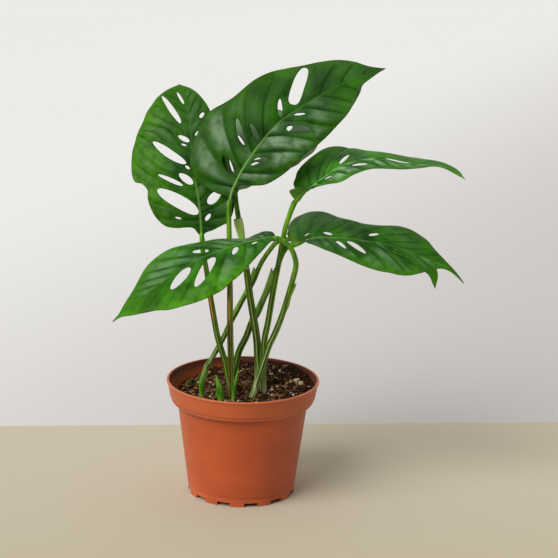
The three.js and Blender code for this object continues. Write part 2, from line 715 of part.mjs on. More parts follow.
const blades = Object.entries(leaves).map(([name, leaf]) => [name, new Blade(leaf)]);
const planted = [
  ...Object.values(leaves).map((leaf) => [leaf.petiole.path, leaf.petiole.radii[0]]),
  ...[...shoots, strand].map((shoot) => [shoot.path, Math.max(...shoot.radii)]),
];
const loose = [
  ...perlite.map((piece, i) => [`perlite_${i + 1}`, piece, colours.perlite]),
  ...barkChips.map((piece, i) => [`bark_chip_${i + 1}`, piece, colours.bark]),
  ['fibre_tuft', fibreTuft, colours.fibre],
];
const hollows = [
  ...planted.map(([path, radius]) => pocket(path, radius)),
  ...loose.map(([, piece]) => lump(piece, seatGap)),
];
place('soil', hollows.reduce((mix, hollow) => mix.subtract(hollow), soilSolid()), finish(colours.soil, 0.95));

for (const [name, blade] of blades) {
  place(`leaf_${name}`, bladeSolid(blade), finish(colours.blade, 0.4));
  place(`petiole_${name}`, petioleSolid(blade), finish(colours.petiole, 0.45));
}

shoots.forEach(({ path, radii }, i) => {
  const steps = 2 * (path.length - 1);
  const solid = stem(smoothCurve(path), steppedRadius(radii), steps, stemSides);
  place(`shoot_${i + 1}`, solid, finish(colours.shoot, 0.5));
});
const strandSolid = stem(smoothCurve(strand.path), steppedRadius(strand.radii), strand.steps, stemSides);
place('strand', strandSolid, finish(colours.strand, 0.6));
place('old_leaf', bladeSolid(new Blade(oldLeaf)), finish(colours.oldLeaf, 0.8));

for (const [name, piece, colour] of loose) place(name, lump(piece, 0), finish(colour, 0.9));

export default plant;
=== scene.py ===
import math
import bmesh
import bpy
import numpy as np
from mathutils import Matrix, Vector, noise
from mathutils.geometry import delaunay_2d_cdt


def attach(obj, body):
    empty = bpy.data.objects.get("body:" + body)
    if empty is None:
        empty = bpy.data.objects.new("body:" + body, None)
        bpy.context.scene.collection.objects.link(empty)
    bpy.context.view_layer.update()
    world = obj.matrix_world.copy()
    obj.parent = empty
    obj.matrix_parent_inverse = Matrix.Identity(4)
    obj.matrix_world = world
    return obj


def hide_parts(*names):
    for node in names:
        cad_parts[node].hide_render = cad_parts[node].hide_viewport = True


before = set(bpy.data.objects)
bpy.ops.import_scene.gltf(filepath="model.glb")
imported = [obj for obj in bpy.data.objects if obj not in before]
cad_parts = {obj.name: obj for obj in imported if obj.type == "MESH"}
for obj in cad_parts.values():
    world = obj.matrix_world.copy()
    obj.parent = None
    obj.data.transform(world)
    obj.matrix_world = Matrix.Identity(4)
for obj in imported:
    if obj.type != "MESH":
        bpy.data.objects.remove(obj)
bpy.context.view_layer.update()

# Lengths are millimetres from the pot's axis and the surface it stands on, until inFrame()
# turns them into the frame's metres.
spreadMiddle = np.array([45.0, 0.0, 0.0])


def inFrame(points):
    return (np.asarray(points, float) - spreadMiddle) / 1000


# Camera, first: where it stands, how far it looks down and how much it is rolled, in degrees
camera = {
    "at": (33.7, -1900, 735), "pitch": 15.17, "roll": 1.25, "lens": 129.2, "sensor": 36,
    "farthest": 50,     # in metres
}


def makeCamera():
    pitch = math.radians(camera["pitch"])
    roll = math.radians(camera["roll"])
    ahead = Vector((0, math.cos(pitch), -math.sin(pitch)))
    level = Vector((1, 0, 0))
    upright = level.cross(ahead)
    right = level * math.cos(roll) + upright * math.sin(roll)
    up = upright * math.cos(roll) - level * math.sin(roll)
    data = bpy.data.cameras.new("camera")
    data.sensor_width = camera["sensor"]
    data.lens = camera["lens"]
    data.clip_end = camera["farthest"]
    view = bpy.data.objects.new("camera", data)
    turn = Matrix((right, up, -ahead)).transposed().to_4x4()
    view.matrix_world = Matrix.Translation(Vector(inFrame(camera["at"]))) @ turn
    bpy.context.collection.objects.link(view)
    bpy.context.scene.camera = view


makeCamera()
print("camera placed")


# A wire is a node's output. Reckoning with wires adds Math nodes to their graph.
class Wire:
    def __init__(self, graph, socket):
        self.graph = graph
        self.socket = socket

    def math(self, operation, other=0.0, **settings):
        return self.graph.add("ShaderNodeMath", {0: self, 1: other}, operation=operation, **settings)

    def __add__(self, other):
        return self.math("ADD", other)

    def __sub__(self, other):
        return self.math("SUBTRACT", other)

    def __mul__(self, other):
        return self.math("MULTIPLY", other)

    def __truediv__(self, other):
        return self.math("DIVIDE", other)

    def __abs__(self):
        return self.math("ABSOLUTE")

    def __rsub__(self, number):
        return self.graph.add("ShaderNodeMath", {0: number, 1: self}, operation="SUBTRACT")

    def __rtruediv__(self, number):
        return self.graph.add("ShaderNodeMath", {0: number, 1: self}, operation="DIVIDE")

    # Goes smoothly from low to high while the wire's value goes from start to end
    def ramp(self, start, end, low=0.0, high=1.0):
        inputs = {"Value": self, 1: start, 2: end, 3: low, 4: high}
        return self.graph.add("ShaderNodeMapRange", inputs, interpolation_type="SMOOTHSTEP")


class Graph:
    def __init__(self, tree):
        self.tree = tree

    def put(self, value, socket):
        if isinstance(value, Wire):
            self.tree.links.new(value.socket, socket)
        else:
            socket.default_value = value

    def node(self, kind, inputs=None, **settings):
        node = self.tree.nodes.new(kind)
        for key, value in settings.items():
            setattr(node, key, value)
        for key, value in (inputs or {}).items():
            self.put(value, node.inputs[key])
        return node

    def add(self, kind, inputs=None, output=0, **settings):
        return Wire(self, self.node(kind, inputs, **settings).outputs[output])

    def split(self, vector):
        parts = self.node("ShaderNodeSeparateXYZ", {"Vector": vector}).outputs
        return [Wire(self, socket) for socket in parts]

    def join(self, **parts):
        return self.add("ShaderNodeCombineXYZ", parts)

    def vector(self, operation, first, second=None, scale=None, output=0):
        inputs = {0: first}
        if second is not None:
            inputs[1] = second
        if scale is not None:
            inputs["Scale"] = scale
        return self.add("ShaderNodeVectorMath", inputs, output, operation=operation)


# Colours are written as their red, green and blue from 0 to 255
def srgb(colour):
    shares = [value / 255 for value in colour]
    return (*[s / 12.92 if s <= 0.04045 else ((s + 0.055) / 1.055) ** 2.4 for s in shares], 1)


def lighter(colour, factor):
    return tuple(min(value * factor, 255) for value in colour)


# A material, and the few kinds of node that this plant's finishes are made of
class Finish(Graph):
    def __init__(self, name):
        self.material = bpy.data.materials.new(name)
        self.material.use_nodes = True
        super().__init__(self.material.node_tree)

    def place(self):
        return self.add("ShaderNodeTexCoord", output="Object")

    def stretched(self, place, scale):
        return self.add("ShaderNodeMapping", {"Vector": place, "Scale": scale})

    def attribute(self, name, output="Fac"):
        return self.add("ShaderNodeAttribute", output=output, attribute_name=name)

    # Where a point lies along a swept stem, and its angle round it from the stem's channel
    def onStem(self):
        x, y, _ = self.split(self.attribute("section", "Vector"))
        return self.attribute("along"), y.math("ARCTAN2", x)

    def noise(self, place, scale, detail, roughness=0.55):
        inputs = {"Vector": place, "Scale": scale, "Detail": detail, "Roughness": roughness}
        return self.add("ShaderNodeTexNoise", inputs, "Fac")

    def cells(self, place, scale, **settings):
        return self.add("ShaderNodeTexVoronoi", {"Vector": place, "Scale": scale}, "Distance", **settings)

    def mix(self, share, first, second):
        colours = [value if isinstance(value, Wire) else srgb(value) for value in (first, second)]
        return self.add("ShaderNodeMix", {0: share, 6: colours[0], 7: colours[1]}, 2, data_type="RGBA")

    def bump(self, height, strength, distance, before=None):
        inputs = {"Height": height, "Strength": strength, "Distance": distance}
        if before is not None:
            inputs["Normal"] = before
        return self.add("ShaderNodeBump", inputs)

    # Fills the shader's sockets; what is a plain number is set on the socket itself
    def done(self, colour, roughness, normal=None, shine=None):
        sockets = self.tree.nodes["Principled BSDF"].inputs
        given = {"Base Color": colour, "Roughness": roughness, "Normal": normal}
        for key, value in {**given, "Specular IOR Level": shine}.items():
            if value is not None:
                self.put(value, sockets[key])
        return self.material


# A smooth shaded mesh from points in millimetres; values are named numbers, one for each point
def newMesh(name, points, faces, values=None):
    mesh = bpy.data.meshes.new(name)
    mesh.from_pydata(inFrame(points).tolist(), [], faces)
    for key, numbers in (values or {}).items():
        layer = mesh.attributes.new(key, "FLOAT", "POINT")
        layer.data.foreach_set("value", np.asarray(numbers, np.float32))
    mesh.shade_smooth()
    mesh.update()
    return mesh


def addObject(name, data):
    item = bpy.data.objects.new(name, data)
    bpy.context.collection.objects.link(item)
    return item


# A finished piece, and the CAD nodes that it stands in for; a grown mesh has its material already
def addPiece(name, mesh, material, nodes=()):
    if material is not None:
        mesh.materials.clear()
        mesh.materials.append(material)
    piece = addObject(name, mesh)
    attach(piece, "root")
    if nodes:
        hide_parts(*nodes)
    return piece


def meshPoints(mesh):
    points = np.zeros(len(mesh.vertices) * 3)
    mesh.vertices.foreach_get("co", points)
    return points.reshape(-1, 3)


# Turns a closed mesh whose faces look inwards
def outward(mesh):
    mesh.calc_loop_triangles()
    corners = np.zeros(len(mesh.loop_triangles) * 3, int)
    mesh.loop_triangles.foreach_get("vertices", corners)
    a, b, c = np.moveaxis(meshPoints(mesh)[corners.reshape(-1, 3)], 1, 0)
    if (a * np.cross(b, c)).sum() < 0:
        mesh.flip_normals()
    return mesh


# A uniform Catmull-Rom curve through the points
def smoothPath(points, perSpan):
    knots = np.asarray(points, float)
    ends = np.vstack([2 * knots[0] - knots[1], knots, 2 * knots[-1] - knots[-2]])
    share = np.linspace(0, 1, perSpan, endpoint=False)[:, None]
    spans = []
    for a, b, c, d in zip(ends, ends[1:], ends[2:], ends[3:]):
        cubic = (2 * a - 5 * b + 4 * c - d) * share**2 + (3 * b - a - 3 * c + d) * share**3
        spans.append(b + 0.5 * ((c - a) * share + cubic))
    return np.vstack([*spans, knots[-1:]])


def travelAlong(path):
    steps = np.linalg.norm(np.diff(path, axis=0), axis=1)
    return np.concatenate([[0], np.cumsum(steps)])


def pointsOn(path, travel, wanted):
    return np.stack([np.interp(wanted, travel, column) for column in path.T], -1)


# The path again, by points an even step apart
def evenly(path, spacing):
    travel = travelAlong(path)
    parts = max(int(round(travel[-1] / spacing)), 3)
    return pointsOn(path, travel, np.linspace(0, travel[-1], parts + 1))


def unit(vectors):
    return vectors / np.linalg.norm(vectors, axis=-1, keepdims=True)


# The unit vector square to the line that is nearest to the wanted one
def squareTo(wanted, line):
    return unit(wanted - (wanted * line).sum(-1, keepdims=True) * line)


def smoothStep(value, low, high):
    share = np.clip((value - low) / (high - low), 0, 1)
    return share * share * (3 - 2 * share)


# Base, middle and tip values on one smooth curve
def between(values, share):
    u = np.clip(share, 0, 1)
    low, middle, high = [np.asarray(value, float) for value in values]
    if low.ndim:
        u = u[..., None]
    return low * (1 - u) * (1 - 2 * u) + middle * 4 * u * (1 - u) + high * u * (2 * u - 1)


# Points of a triangular grid over a box
def gridOver(low, high, spacing):
    rows = np.arange(low[1], high[1], spacing * 0.866)
    gridX, gridY = np.meshgrid(np.arange(low[0], high[0], spacing), rows)
    gridX = gridX + (np.arange(len(rows)) % 2)[:, None] * spacing / 2
    return np.stack([gridX.ravel(), gridY.ravel()], -1)


def insideOf(points, loop):
    x, y = points[:, 0, None], points[:, 1, None]
    ax, ay = loop.T
    bx, by = np.roll(ax, -1), np.roll(ay, -1)
    crosses = (ay > y) != (by > y)
    slope = np.where(by == ay, 1e-9, by - ay)
    return (crosses & (x < (bx - ax) * (y - ay) / slope + ax)).sum(1) % 2 == 1


def distanceTo(points, loops):
    nearest = np.full(len(points), np.inf)
    for loop in loops:
        step = np.roll(loop, -1, axis=0) - loop
        share = ((points[:, None] - loop) * step).sum(-1) / np.maximum((step**2).sum(-1), 1e-12)
        foot = loop + np.clip(share, 0, 1)[..., None] * step
        nearest = np.minimum(nearest, np.linalg.norm(points[:, None] - foot, axis=-1).min(1))
    return nearest


# Triangles between the loops: the first is the outside, the others are holes
def flatPatch(loops, inner):
    points = np.vstack([*loops, inner])
    edges = []
    start = 0
    for loop in loops:
        count = len(loop)
        edges += [(start + k, start + (k + 1) % count) for k in range(count)]
        start += count
    result = delaunay_2d_cdt([Vector(p) for p in points.tolist()], edges, [], 0, 1e-5, False)
    flat = np.array([v[:] for v in result[0]])
    faces = np.array(result[2])
    middles = flat[faces].mean(1)
    keep = insideOf(middles, loops[0])
    for hole in loops[1:]:
        keep &= ~insideOf(middles, hole)
    faces = faces[keep]
    a, b, c = (flat[faces[:, k]] for k in range(3))
    area = (b - a)[:, 0] * (c - a)[:, 1] - (b - a)[:, 1] * (c - a)[:, 0]
    faces = faces[np.abs(area) > 1e-7]
    area = area[np.abs(area) > 1e-7]
    faces[area < 0] = faces[area < 0][:, ::-1]
    used = np.unique(faces)
    renumber = np.full(len(flat), -1)
    renumber[used] = np.arange(len(used))
    return flat[used], renumber[faces]


# A blade's midrib, measured along its length
class Rib:
    reach = 0.02    # the share of its length over which its direction is taken

    def __init__(self, points):
        self.path = smoothPath(points, 40)
        self.travel = travelAlong(self.path)
        self.length = self.travel[-1]

    def on(self, x):
        return pointsOn(self.path, self.travel, x)

    def ahead(self, x):
        reach = self.reach * self.length
        inside = np.clip(x, 0, self.length)
        front = self.on(np.minimum(inside + reach, self.length))
        return unit(front - self.on(np.maximum(inside - reach, 0)))

    def at(self, x):
        inside = np.clip(x, 0, self.length)
        return self.on(inside) + (x - inside)[..., None] * self.ahead(inside)


# Blades. Each is drawn flat and then bent: the first number is the distance along the rib from
# its base, the second the distance out from it, for the left and the right half as seen from
# above. A hole is its two ends and its width, and a sixth number below 1 squares its ends.
# faces is the way that the upper side looks at the base, middle and tip, fold the angle at which
# each half leaves the rib and curl how far it then bends over halfWidth, in degrees. lobeTurn
# is added to the fold near the base: for each half, and from where to where along the rib.
halfWidth = 50.0
leaves = {
    "back_left": {
        "rib": [
            [-43, 8, 260], [-46, 13, 290], [-51, 22, 316], [-55, 35, 340], [-57, 52, 364], [-64, 71, 381],
            [-71, 97, 394],
        ],
        "faces": [[-0.12, -0.95, 0.3], [-0.1, -0.9, 0.45], [0, -0.45, 0.9]],
        "fold": [[6, 4, 0], [16, 16, 10]],
        "curl": [[-10, -20, -20], [-20, -30, -20]],
        "margin": [
            [
                [3, 4], [8, 8], [9, 16], [9, 25], [12, 36], [22, 45], [35, 49], [47, 50], [54, 49],
                [61, 54], [66, 62], [80, 64], [99, 59], [126, 54], [146, 37], [157, 27], [166, 15],
            ],
            [
                [3, 5], [5, 12], [9, 21], [13, 29], [22, 34], [32, 36], [46, 36], [65, 33], [85, 31],
                [104, 26], [120, 22], [134, 19], [149, 15], [162, 9],
            ],
        ],
        "holes": [
            [
                [117, 10, 159, 20, 5.6], [140, 1.5, 160, 4.5, 3], [95, 2, 102, 13, 5], [91, 5, 93, 10, 2],
                [73, 7, 98, 39, 7.8], [67, 4, 71, 8, 2.6], [52, 13, 67, 36, 4], [52, 3, 64, 15, 7],
                [22, 2, 53, 39, 13.5], [18, 19, 20, 25, 2],
            ],
            [[118, 10, 122, 15, 4], [101, 4, 105, 9, 3.4], [31, 9, 40, 24, 8.4], [15, 5, 21, 11, 4]],
        ],
        "petiole": {
            "path": [
                [-13, 6, 84], [-13, 6, 100], [-18, 5, 130], [-23, 5, 147], [-27, 5, 162], [-33, 5, 195],
                [-38, 6, 226], [-42, 7, 246],
            ],
            "radii": [2.9, 2.9, 2.2],
        },
    },
    "top": {
        "rib": [
            [-16, 0, 296], [-13, 3, 309], [1, 8, 336], [27, 16, 369], [54, 20, 389], [90, 18, 411],
            [131, 8, 429],
        ],
        "faces": [[-0.05, -0.9, 0.4], [0.05, -0.85, 0.5], [0.15, -0.8, 0.6]],
        "fold": [[4, 3, 0], [28, 24, 12]],
        "curl": [[-10, -20, -20], [-20, -28, -20]],
        "margin": [
            [
                [5, 4], [6, 12], [8, 24], [11, 39], [17, 48], [28, 54], [42, 58], [56, 62], [65, 60],
                [74, 55], [85, 51], [101, 51], [113, 49], [124, 44], [138, 37], [153, 32], [167, 26],
                [181, 18], [193, 9], [204, 3],
            ],
            [
                [5, 3], [13, 5], [19, 6], [22, 11], [26, 20], [33, 30], [44, 36], [60, 41], [80, 43],
                [105, 44], [124, 42], [145, 37], [160, 32], [173, 25], [181, 17], [185, 10], [193, 6],
                [203, 2],
            ],
        ],
        "holes": [
            [
                [113, 7, 140, 33, 12.5, 0.7], [97, 3, 106, 19, 4.2], [27, 4, 36, 23, 8],
                [53, 10, 70, 34, 5.8], [67, 4, 74, 20, 4.8],
            ],
            [[109, 3, 119, 9, 2.6], [94, 11, 115, 27, 9.5], [43, 6, 58, 17, 9]],
        ],
        "petiole": {
            "path": [
                [-11, -6, 82], [-11, -6, 113], [-13, -6, 156], [-14, -6, 199], [-15, -5, 239],
                [-16, -3, 269],
            ],
            "radii": [3.3, 3, 2.3],
        },
    },
    "front_left": {
        "rib": [
            [29, -14, 264.5], [22, -18.5, 266.5], [13, -23.5, 265.5], [-9, -36, 262], [-38, -51, 254],
            [-57, -62, 245], [-80, -73, 231], [-108, -84, 211], [-122, -89, 199],
        ],
        "faces": [[-0.1, -0.25, 0.95], [-0.15, -0.6, 0.8], [-0.3, -0.6, 0.7]],
        "fold": [[-6, 6, 4], [-30, -4, 4]],
        "curl": [[-15, -22, -22], [-15, -22, -22]],
        "lobeTurn": [0, 48, -8, 24],
        "margin": [
            [
                [4, 5], [14, 11], [28, 20], [45, 30], [59, 37], [73, 41], [87, 44], [102, 43], [116, 40],
                [129, 35], [139, 30], [148, 23], [158, 17], [169, 10], [178, 3],
            ],
            [
                [-2, 4], [-3, 8], [-2, 12], [3, 14], [10, 15], [16, 19], [24, 23], [37, 26], [53, 28],
                [69, 28], [81, 30], [93, 34], [106, 34], [118, 32], [130, 27], [141, 20], [153, 13],
                [166, 7], [177, 2],
            ],
        ],
        "holes": [
            [[70, 6, 106, 26, 10.5], [97, 3, 125, 13, 10], [44, 3, 53, 11, 5], [22, 3, 29, 5, 2.5]],
            [[70, 6, 83, 14, 6.5], [10, 5, 15, 9, 1.6]],
        ],
        "petiole": {
            "path": [
                [7, -9, 86], [9, -8, 99], [12, -8, 107], [15, -7, 119], [20, -6, 135], [25, -6, 152],
                [31, -6, 166], [37, -7, 183], [42, -8, 201], [47, -9, 221], [50, -10, 237],
                [47.5, -12, 248.5], [43.5, -13, 256], [39, -12, 260],
            ],
            "radii": [3.2, 3, 2.3],
            "sheath": {"from": 0.53, "to": 0.665, "beside": [0.96, -0.28], "wrap": 60, "stand": 1.0},
        },
    },
    "upper_right": {
        "rib": [
            [49.5, 0, 300], [54, -0.7, 306], [60, -1.5, 311], [66, -2.5, 316], [73, -4, 322],
            [93, -8, 337], [122, -13, 345], [154, -19, 341], [184, -25, 342], [209, -32, 331],
        ],
        "faces": [[0, -0.55, 0.85], [0.05, -0.08, 1], [0.2, 0, 1]],
        "fold": [[16, 6, 14], [55, -10, 12]],
        "curl": [[-12, -14, -8], [-10, -14, -8]],
        "lobeTurn": [0, 55, 1, 26],
        "margin": [
            [
                [1, 3], [4, 6], [6, 11], [7, 15], [10, 20], [13, 26], [18, 31], [24, 36], [30, 41],
                [38, 46], [46, 48], [54, 45], [62, 39], [71, 31], [82, 24], [94, 23], [106, 28],
                [115, 31], [125, 30], [136, 22], [146, 15], [156, 12], [166, 11], [173, 8], [177, 3],
            ],
            [
                [0, 5], [2, 10], [4, 14], [6, 14], [9, 12], [13, 11], [17, 13], [21, 16], [26, 19],
                [32, 22], [38, 25], [46, 31], [54, 36], [62, 35], [72, 28], [84, 22], [98, 18], [112, 13],
                [126, 9], [138, 8], [148, 5], [160, 3], [172, 1.5],
            ],
        ],
        "holes": [
            [[55, 5, 63, 19, 5.6], [99, 5, 125, 7, 4.5]],
            [[68, 8, 84, 11, 4.5], [37, 8, 47, 15, 3.5]],
        ],
        "petiole": {
            "path": [
                [21, 2, 84], [21, 2, 94], [20, 3, 114], [20, 5, 145], [21, 6, 158], [24, 6, 175],
                [27, 5, 197], [30, 4, 217], [34, 2, 241], [36, 1, 256], [39, 0, 272], [43, 0, 286],
            ],
            "radii": [3.4, 3, 2.3],
        },
    },
    "lower_right": {
        "rib": [
            [46, 3, 254], [54, 2, 257], [61, 1, 260], [75, -1, 263], [105, -6, 263], [143, -13, 259],
            [175, -21, 249], [197, -28, 242], [212, -34, 229],
        ],
        "faces": [[0, -0.1, 1], [0, -0.33, 0.94], [0.2, -0.5, 0.85]],
        "fold": [[18, 6, 8], [20, -4, 8]],
        "curl": [[-15, -20, -18], [-15, -20, -18]],
        "lobeTurn": [0, 75, 0, 20],
        "margin": [
            [
                [-2, 8], [-4, 19], [-5, 32], [-4, 44], [-1, 54], [5, 60], [14, 62], [24, 58], [33, 51],
                [43, 42], [53, 36], [63, 33], [73, 32], [84, 32], [97, 36], [107, 36], [117, 33],
                [127, 28], [137, 19], [147, 11], [159, 4], [174, 1.5],
            ],
            [
                [0, 4], [-1, 8], [-1, 13], [3, 13], [7, 12], [10, 12], [13, 14], [17, 16], [22, 20],
                [28, 24], [39, 28], [51, 31], [62, 33], [74, 35], [86, 36], [98, 36], [109, 34],
                [119, 32], [129, 27], [137, 20], [144, 13], [152, 6], [160, 3], [171, 1],
            ],
        ],
        "holes": [
            [[40, 5, 31, 9, 4], [75, 10, 84, 15, 4.5], [90, 6, 94, 9, 2.2], [13, 8, 18, 11, 2.2]],
            [
                [45, 6, 57, 18, 4.5], [56, 4, 77, 19, 6], [99, 4, 130, 14, 6.4], [77, 5, 81, 7, 2],
                [22, 9, 30, 11, 1.6],
            ],
        ],
        "petiole": {
            "path": [
                [-10, 24, 84], [-10, 24, 101], [-9, 24, 117], [-5, 23, 137], [2, 22, 153], [8, 20, 171],
                [13, 19, 179], [19, 17, 195], [27, 14, 214], [32, 11, 229], [36, 8, 242],
            ],
            "radii": [3.4, 3.2, 2.2],
            "sheath": {"from": 0.45, "to": 0.755, "beside": [-0.9, -0.4], "wrap": 80, "stand": 2.1},
        },
    },
    "behind_top": {
        "rib": [
            [-10, 24, 303], [-5, 30, 320], [6, 36, 338], [23, 42, 350], [41, 48, 357], [61, 52, 359],
            [78, 54, 360],
        ],
        "faces": [[-0.05, -0.9, 0.4], [0.05, -0.88, 0.45], [0.2, -0.8, 0.5]],
        "fold": [[-6, -8, -4], [6, 8, 4]],
        "curl": [[-12, -20, -16], [-12, -20, -16]],
        "underFront": True,
        "margin": [
            [
                [3, 6], [7, 12], [13, 19], [22, 28], [32, 37], [42, 44], [53, 48], [63, 46], [74, 36],
                [86, 23], [98, 12], [110, 5],
            ],
            [[2, 5], [6, 12], [19, 22], [40, 30], [63, 34], [83, 33], [98, 27], [107, 20], [114, 9]],
        ],
        "holes": [
            [[16, 8, 24, 17, 1.8], [41, 13, 43, 25, 1.6], [80, 3, 87, 6, 4.5]],
            [[29, 5, 36, 10, 2.2], [35, 4, 42, 9, 1.6]],
        ],
        "petiole": {
            "path": [
                [15, 14, 88], [15, 14, 105], [15, 13, 119], [14, 11, 138], [13, 9, 154], [10, 7, 174],
                [6, 6, 196], [1, 9, 229], [-4, 14, 260], [-8, 18, 279],
            ],
            "radii": [3.8, 3.5, 2.2],
            "sheath": {"from": 0.6, "to": 0.82, "beside": [-0.35, -0.94], "wrap": 80, "stand": 2.1,
                       "finish": "pale"},
        },
    },
    "under_right": {
        "rib": [
            [123, 24, 251], [135, 22, 248], [149, 18, 244], [162, 11, 240], [175, 4, 235], [184, -2, 228],
            [187, -4, 215],
        ],
        "faces": [[0, -0.5, 0.85], [0.1, -0.55, 0.8], [0.7, -0.55, 0.4]],
        "fold": [[8, 4, 8], [8, 4, 8]],
        "curl": [[-12, -16, -12], [-12, -16, -12]],
        "margin": [
            [[1, 6], [4, 13], [13, 18], [24, 20], [34, 20], [47, 16], [59, 12], [70, 8], [79, 4]],
            [[3, 5], [12, 13], [25, 15], [40, 13], [49, 9], [58, 6], [68, 5], [77, 4]],
        ],
        "holes": [[[24, 4, 31, 12, 4]], [[26, 4, 34, 9, 3]]],
        "petiole": {
            "path": [
                [-41, 38.5, 84], [-40, 40, 98], [-38.8, 41, 112], [-34, 39, 122], [-28, 36, 134],
                [-21, 31, 149], [-15, 27, 164], [-8, 23, 179], [-2, 20.5, 192], [8, 20, 211],
                [15, 20, 229], [24, 20, 244], [31, 21, 252], [40, 24, 254], [52, 27, 254], [68, 28, 253],
                [85, 28, 254], [101, 27, 255],
            ],
            "radii": [2.9, 2.5, 2],
            "sheath": {"from": 0.3, "to": 0.522, "beside": [-0.9, -0.3], "wrap": 76, "stand": 2.1},
        },
    },
}

bladeShape = {
    "thickness": 0.55, "edgeThickness": 0.28,       # mm
    "spacing": 1.6, "edgeSpacing": 1.3,             # of the mesh's points
    "groove": 0.3, "underGroove": 0.35,             # dip on the side veins, above and underneath
    "veinHalf": 0.9,                                # half the dip's width
    "fromRib": (2, 12), "fromRim": (-1, 7), "fromTip": (0.02, 0.3),   # where the swelling sets in
    "ripple": 0.7, "rippleFrom": (15, 45),          # wavy margin
    "ribHalf": (1.25, 0.7, 0.3),                    # the midrib's half width at base, middle, tip
    "ribColumns": (-1.7, -1, -0.5, 0, 0.5, 1, 1.7), # points beside it, in its half widths
    "ridge": (1.9, 1.1, 0.3),                       # how far it stands out underneath
    "ribTop": 0.35, "channel": 0.5,                 # its bead on top and the hollow beside that
}
# What sets one blade's relief apart: the swell on its left and right half, its side veins' step
# and how far they sweep towards the tip
reliefs = {
    "back_left": (1.2, 1.1, 0.085, 0.5), "top": (0.9, 1.9, 0.12, 0.45),
    "front_left": (0.8, 0.7, 0.095, 1.6), "upper_right": (0.5, 0.7, 0.1, 1.6),
    "lower_right": (0.7, 0.8, 0.1, 1.4), "behind_top": (0.8, 0.8, 0.12, 0.35),
    "under_right": (0.6, 0.6, 0.12, 0.6), "old": (0.9, 0.9, 0.085, 0.35),
}
# Side veins: how far they lean tipward as they go out, at the base and further on, and how they
# bow; then, in steps, how far to each side of a hole they run and how close they may come
veinShape = {
    "baseLean": -0.6, "gain": 1.25, "gainBy": (0, 0.2), "sweepBy": (0.15, 0.6), "bow": 0.15,
    "beside": 0.45, "apart": 0.55, "clear": 0.25, "closest": 0.3, "closestBy": (0.06, 0.34),
    "atBase": (-0.06, 0.03), "atTip": (0.99, 1.08),
}


# The blade's outline in its flat drawing, right margin out and left margin back
def bladeOutline(leaf, length, spacing):
    sides = []
    for side, sign in ((1, 1), (0, -1)):
        knots = [(0, 1.5), *leaf["margin"][side], (length, 0.5)]
        sides.append(evenly(smoothPath(knots, 12), spacing) * (1, sign))
    tip = [(length + 0.6, 0)]
    return np.vstack([sides[0], tip, sides[1][::-1], [(0, 0)]])


# A hole is an oval, a little fuller towards the rib than towards the margin
def holeOutline(hole, sign, spacing):
    fromX, fromY, toX, toY, width, power = [*hole, 1][:6]
    start = np.array([fromX, fromY], float)
    step = np.array([toX, toY], float) - start
    length = np.linalg.norm(step)
    across = np.array([-step[1], step[0]]) / length
    turn = np.linspace(0, 2 * math.pi, max(int(round(2.4 * length / spacing)), 10), endpoint=False)

    def squarer(value):
        return np.sign(value) * np.abs(value) ** power

    along = (1 - squarer(np.cos(turn))) / 2
    off = width / 2 * squarer(np.sin(turn)) * (1 + 0.12 * np.cos(turn))
    return (start + along[:, None] * step + off[:, None] * across) * (1, sign)


# Where the side vein through a blade point leaves the rib, as a share of the rib
def veinRoot(x, out, length, sweep):
    vein = veinShape
    low = np.full(len(x), -0.4)
    high = np.full(len(x), 1.3)
    for _ in range(26):
        middle = (low + high) / 2
        lean = vein["baseLean"] + vein["gain"] * smoothStep(middle, *vein["gainBy"])
        lean = lean + sweep * smoothStep(middle, *vein["sweepBy"])
        short = middle * length + lean * out + vein["bow"] * out**2 / halfWidth < x
        low = np.where(short, middle, low)
        high = np.where(short, high, middle)
    return (low + high) / 2


# Side veins run between the holes, and more fill the wide gaps
def veinStations(holes, length, step, sweep):
    middles = np.array([((h[0] + h[2]) / 2, (h[1] + h[3]) / 2) for h in holes]).reshape(-1, 2)
    roots = veinRoot(*middles.T, length, sweep)
    vein = veinShape
    beside = vein["beside"] * step
    kept = [*vein["atBase"]]
    for station in sorted([root + off for root in roots for off in (-beside, beside)]):
        apart = station - kept[-1] > vein["apart"] * step
        if apart and not any(abs(station - root) < vein["clear"] * step for root in roots):
            kept.append(station)
    kept += vein["atTip"]
    stations = []
    for a, b in zip(kept, kept[1:]):
        far = float(smoothStep((a + b) / 2, *vein["closestBy"]))
        closer = vein["closest"] + (1 - vein["closest"]) * far
        parts = max(int(round((b - a) / (step * closer))), 1)
        stations += list(np.linspace(a, b, parts, endpoint=False))
    return np.array([*stations, kept[-1]])


class Blade:
    def __init__(self, name, leaf):
        self.name = name
        self.leaf = leaf
        self.rib = Rib(leaf["rib"])
        self.length = self.rib.length

    def upAt(self, x):
        ahead = self.rib.ahead(x)
        return squareTo(between(self.leaf["faces"], x / self.length), ahead), ahead

    # Places flat points in space; y is negative on the left half
    def bend(self, x, y, height):
        up, ahead = self.upAt(x)
        right = np.cross(ahead, up)
        base = self.rib.at(x)
        share = x / self.length
        *turns, lobeStart, lobeEnd = self.leaf.get("lobeTurn", [0, 0, 0, 1])
        place = np.zeros((len(x), 3))
        weight = np.zeros(len(x))
        for side, sign in ((0, -1), (1, 1)):
            more = turns[side] * (1 - smoothStep(x, lobeStart, lobeEnd))
            start = np.radians(between(self.leaf["fold"][side], share) + more)
            turn = np.radians(between(self.leaf["curl"][side], share)) / halfWidth
            end = start + turn * np.abs(y)
            outward = (np.sin(end) - np.sin(start)) / turn - height * np.sin(end)
            upward = (np.cos(start) - np.cos(end)) / turn + height * np.cos(end)
            half = base + right * (sign * outward)[:, None] + up * upward[:, None]
            here = np.where(np.sign(y) == sign, 1.0, np.where(y == 0, 0.5, 0))
            place += half * here[:, None]
            weight += here
        return place / weight[:, None]


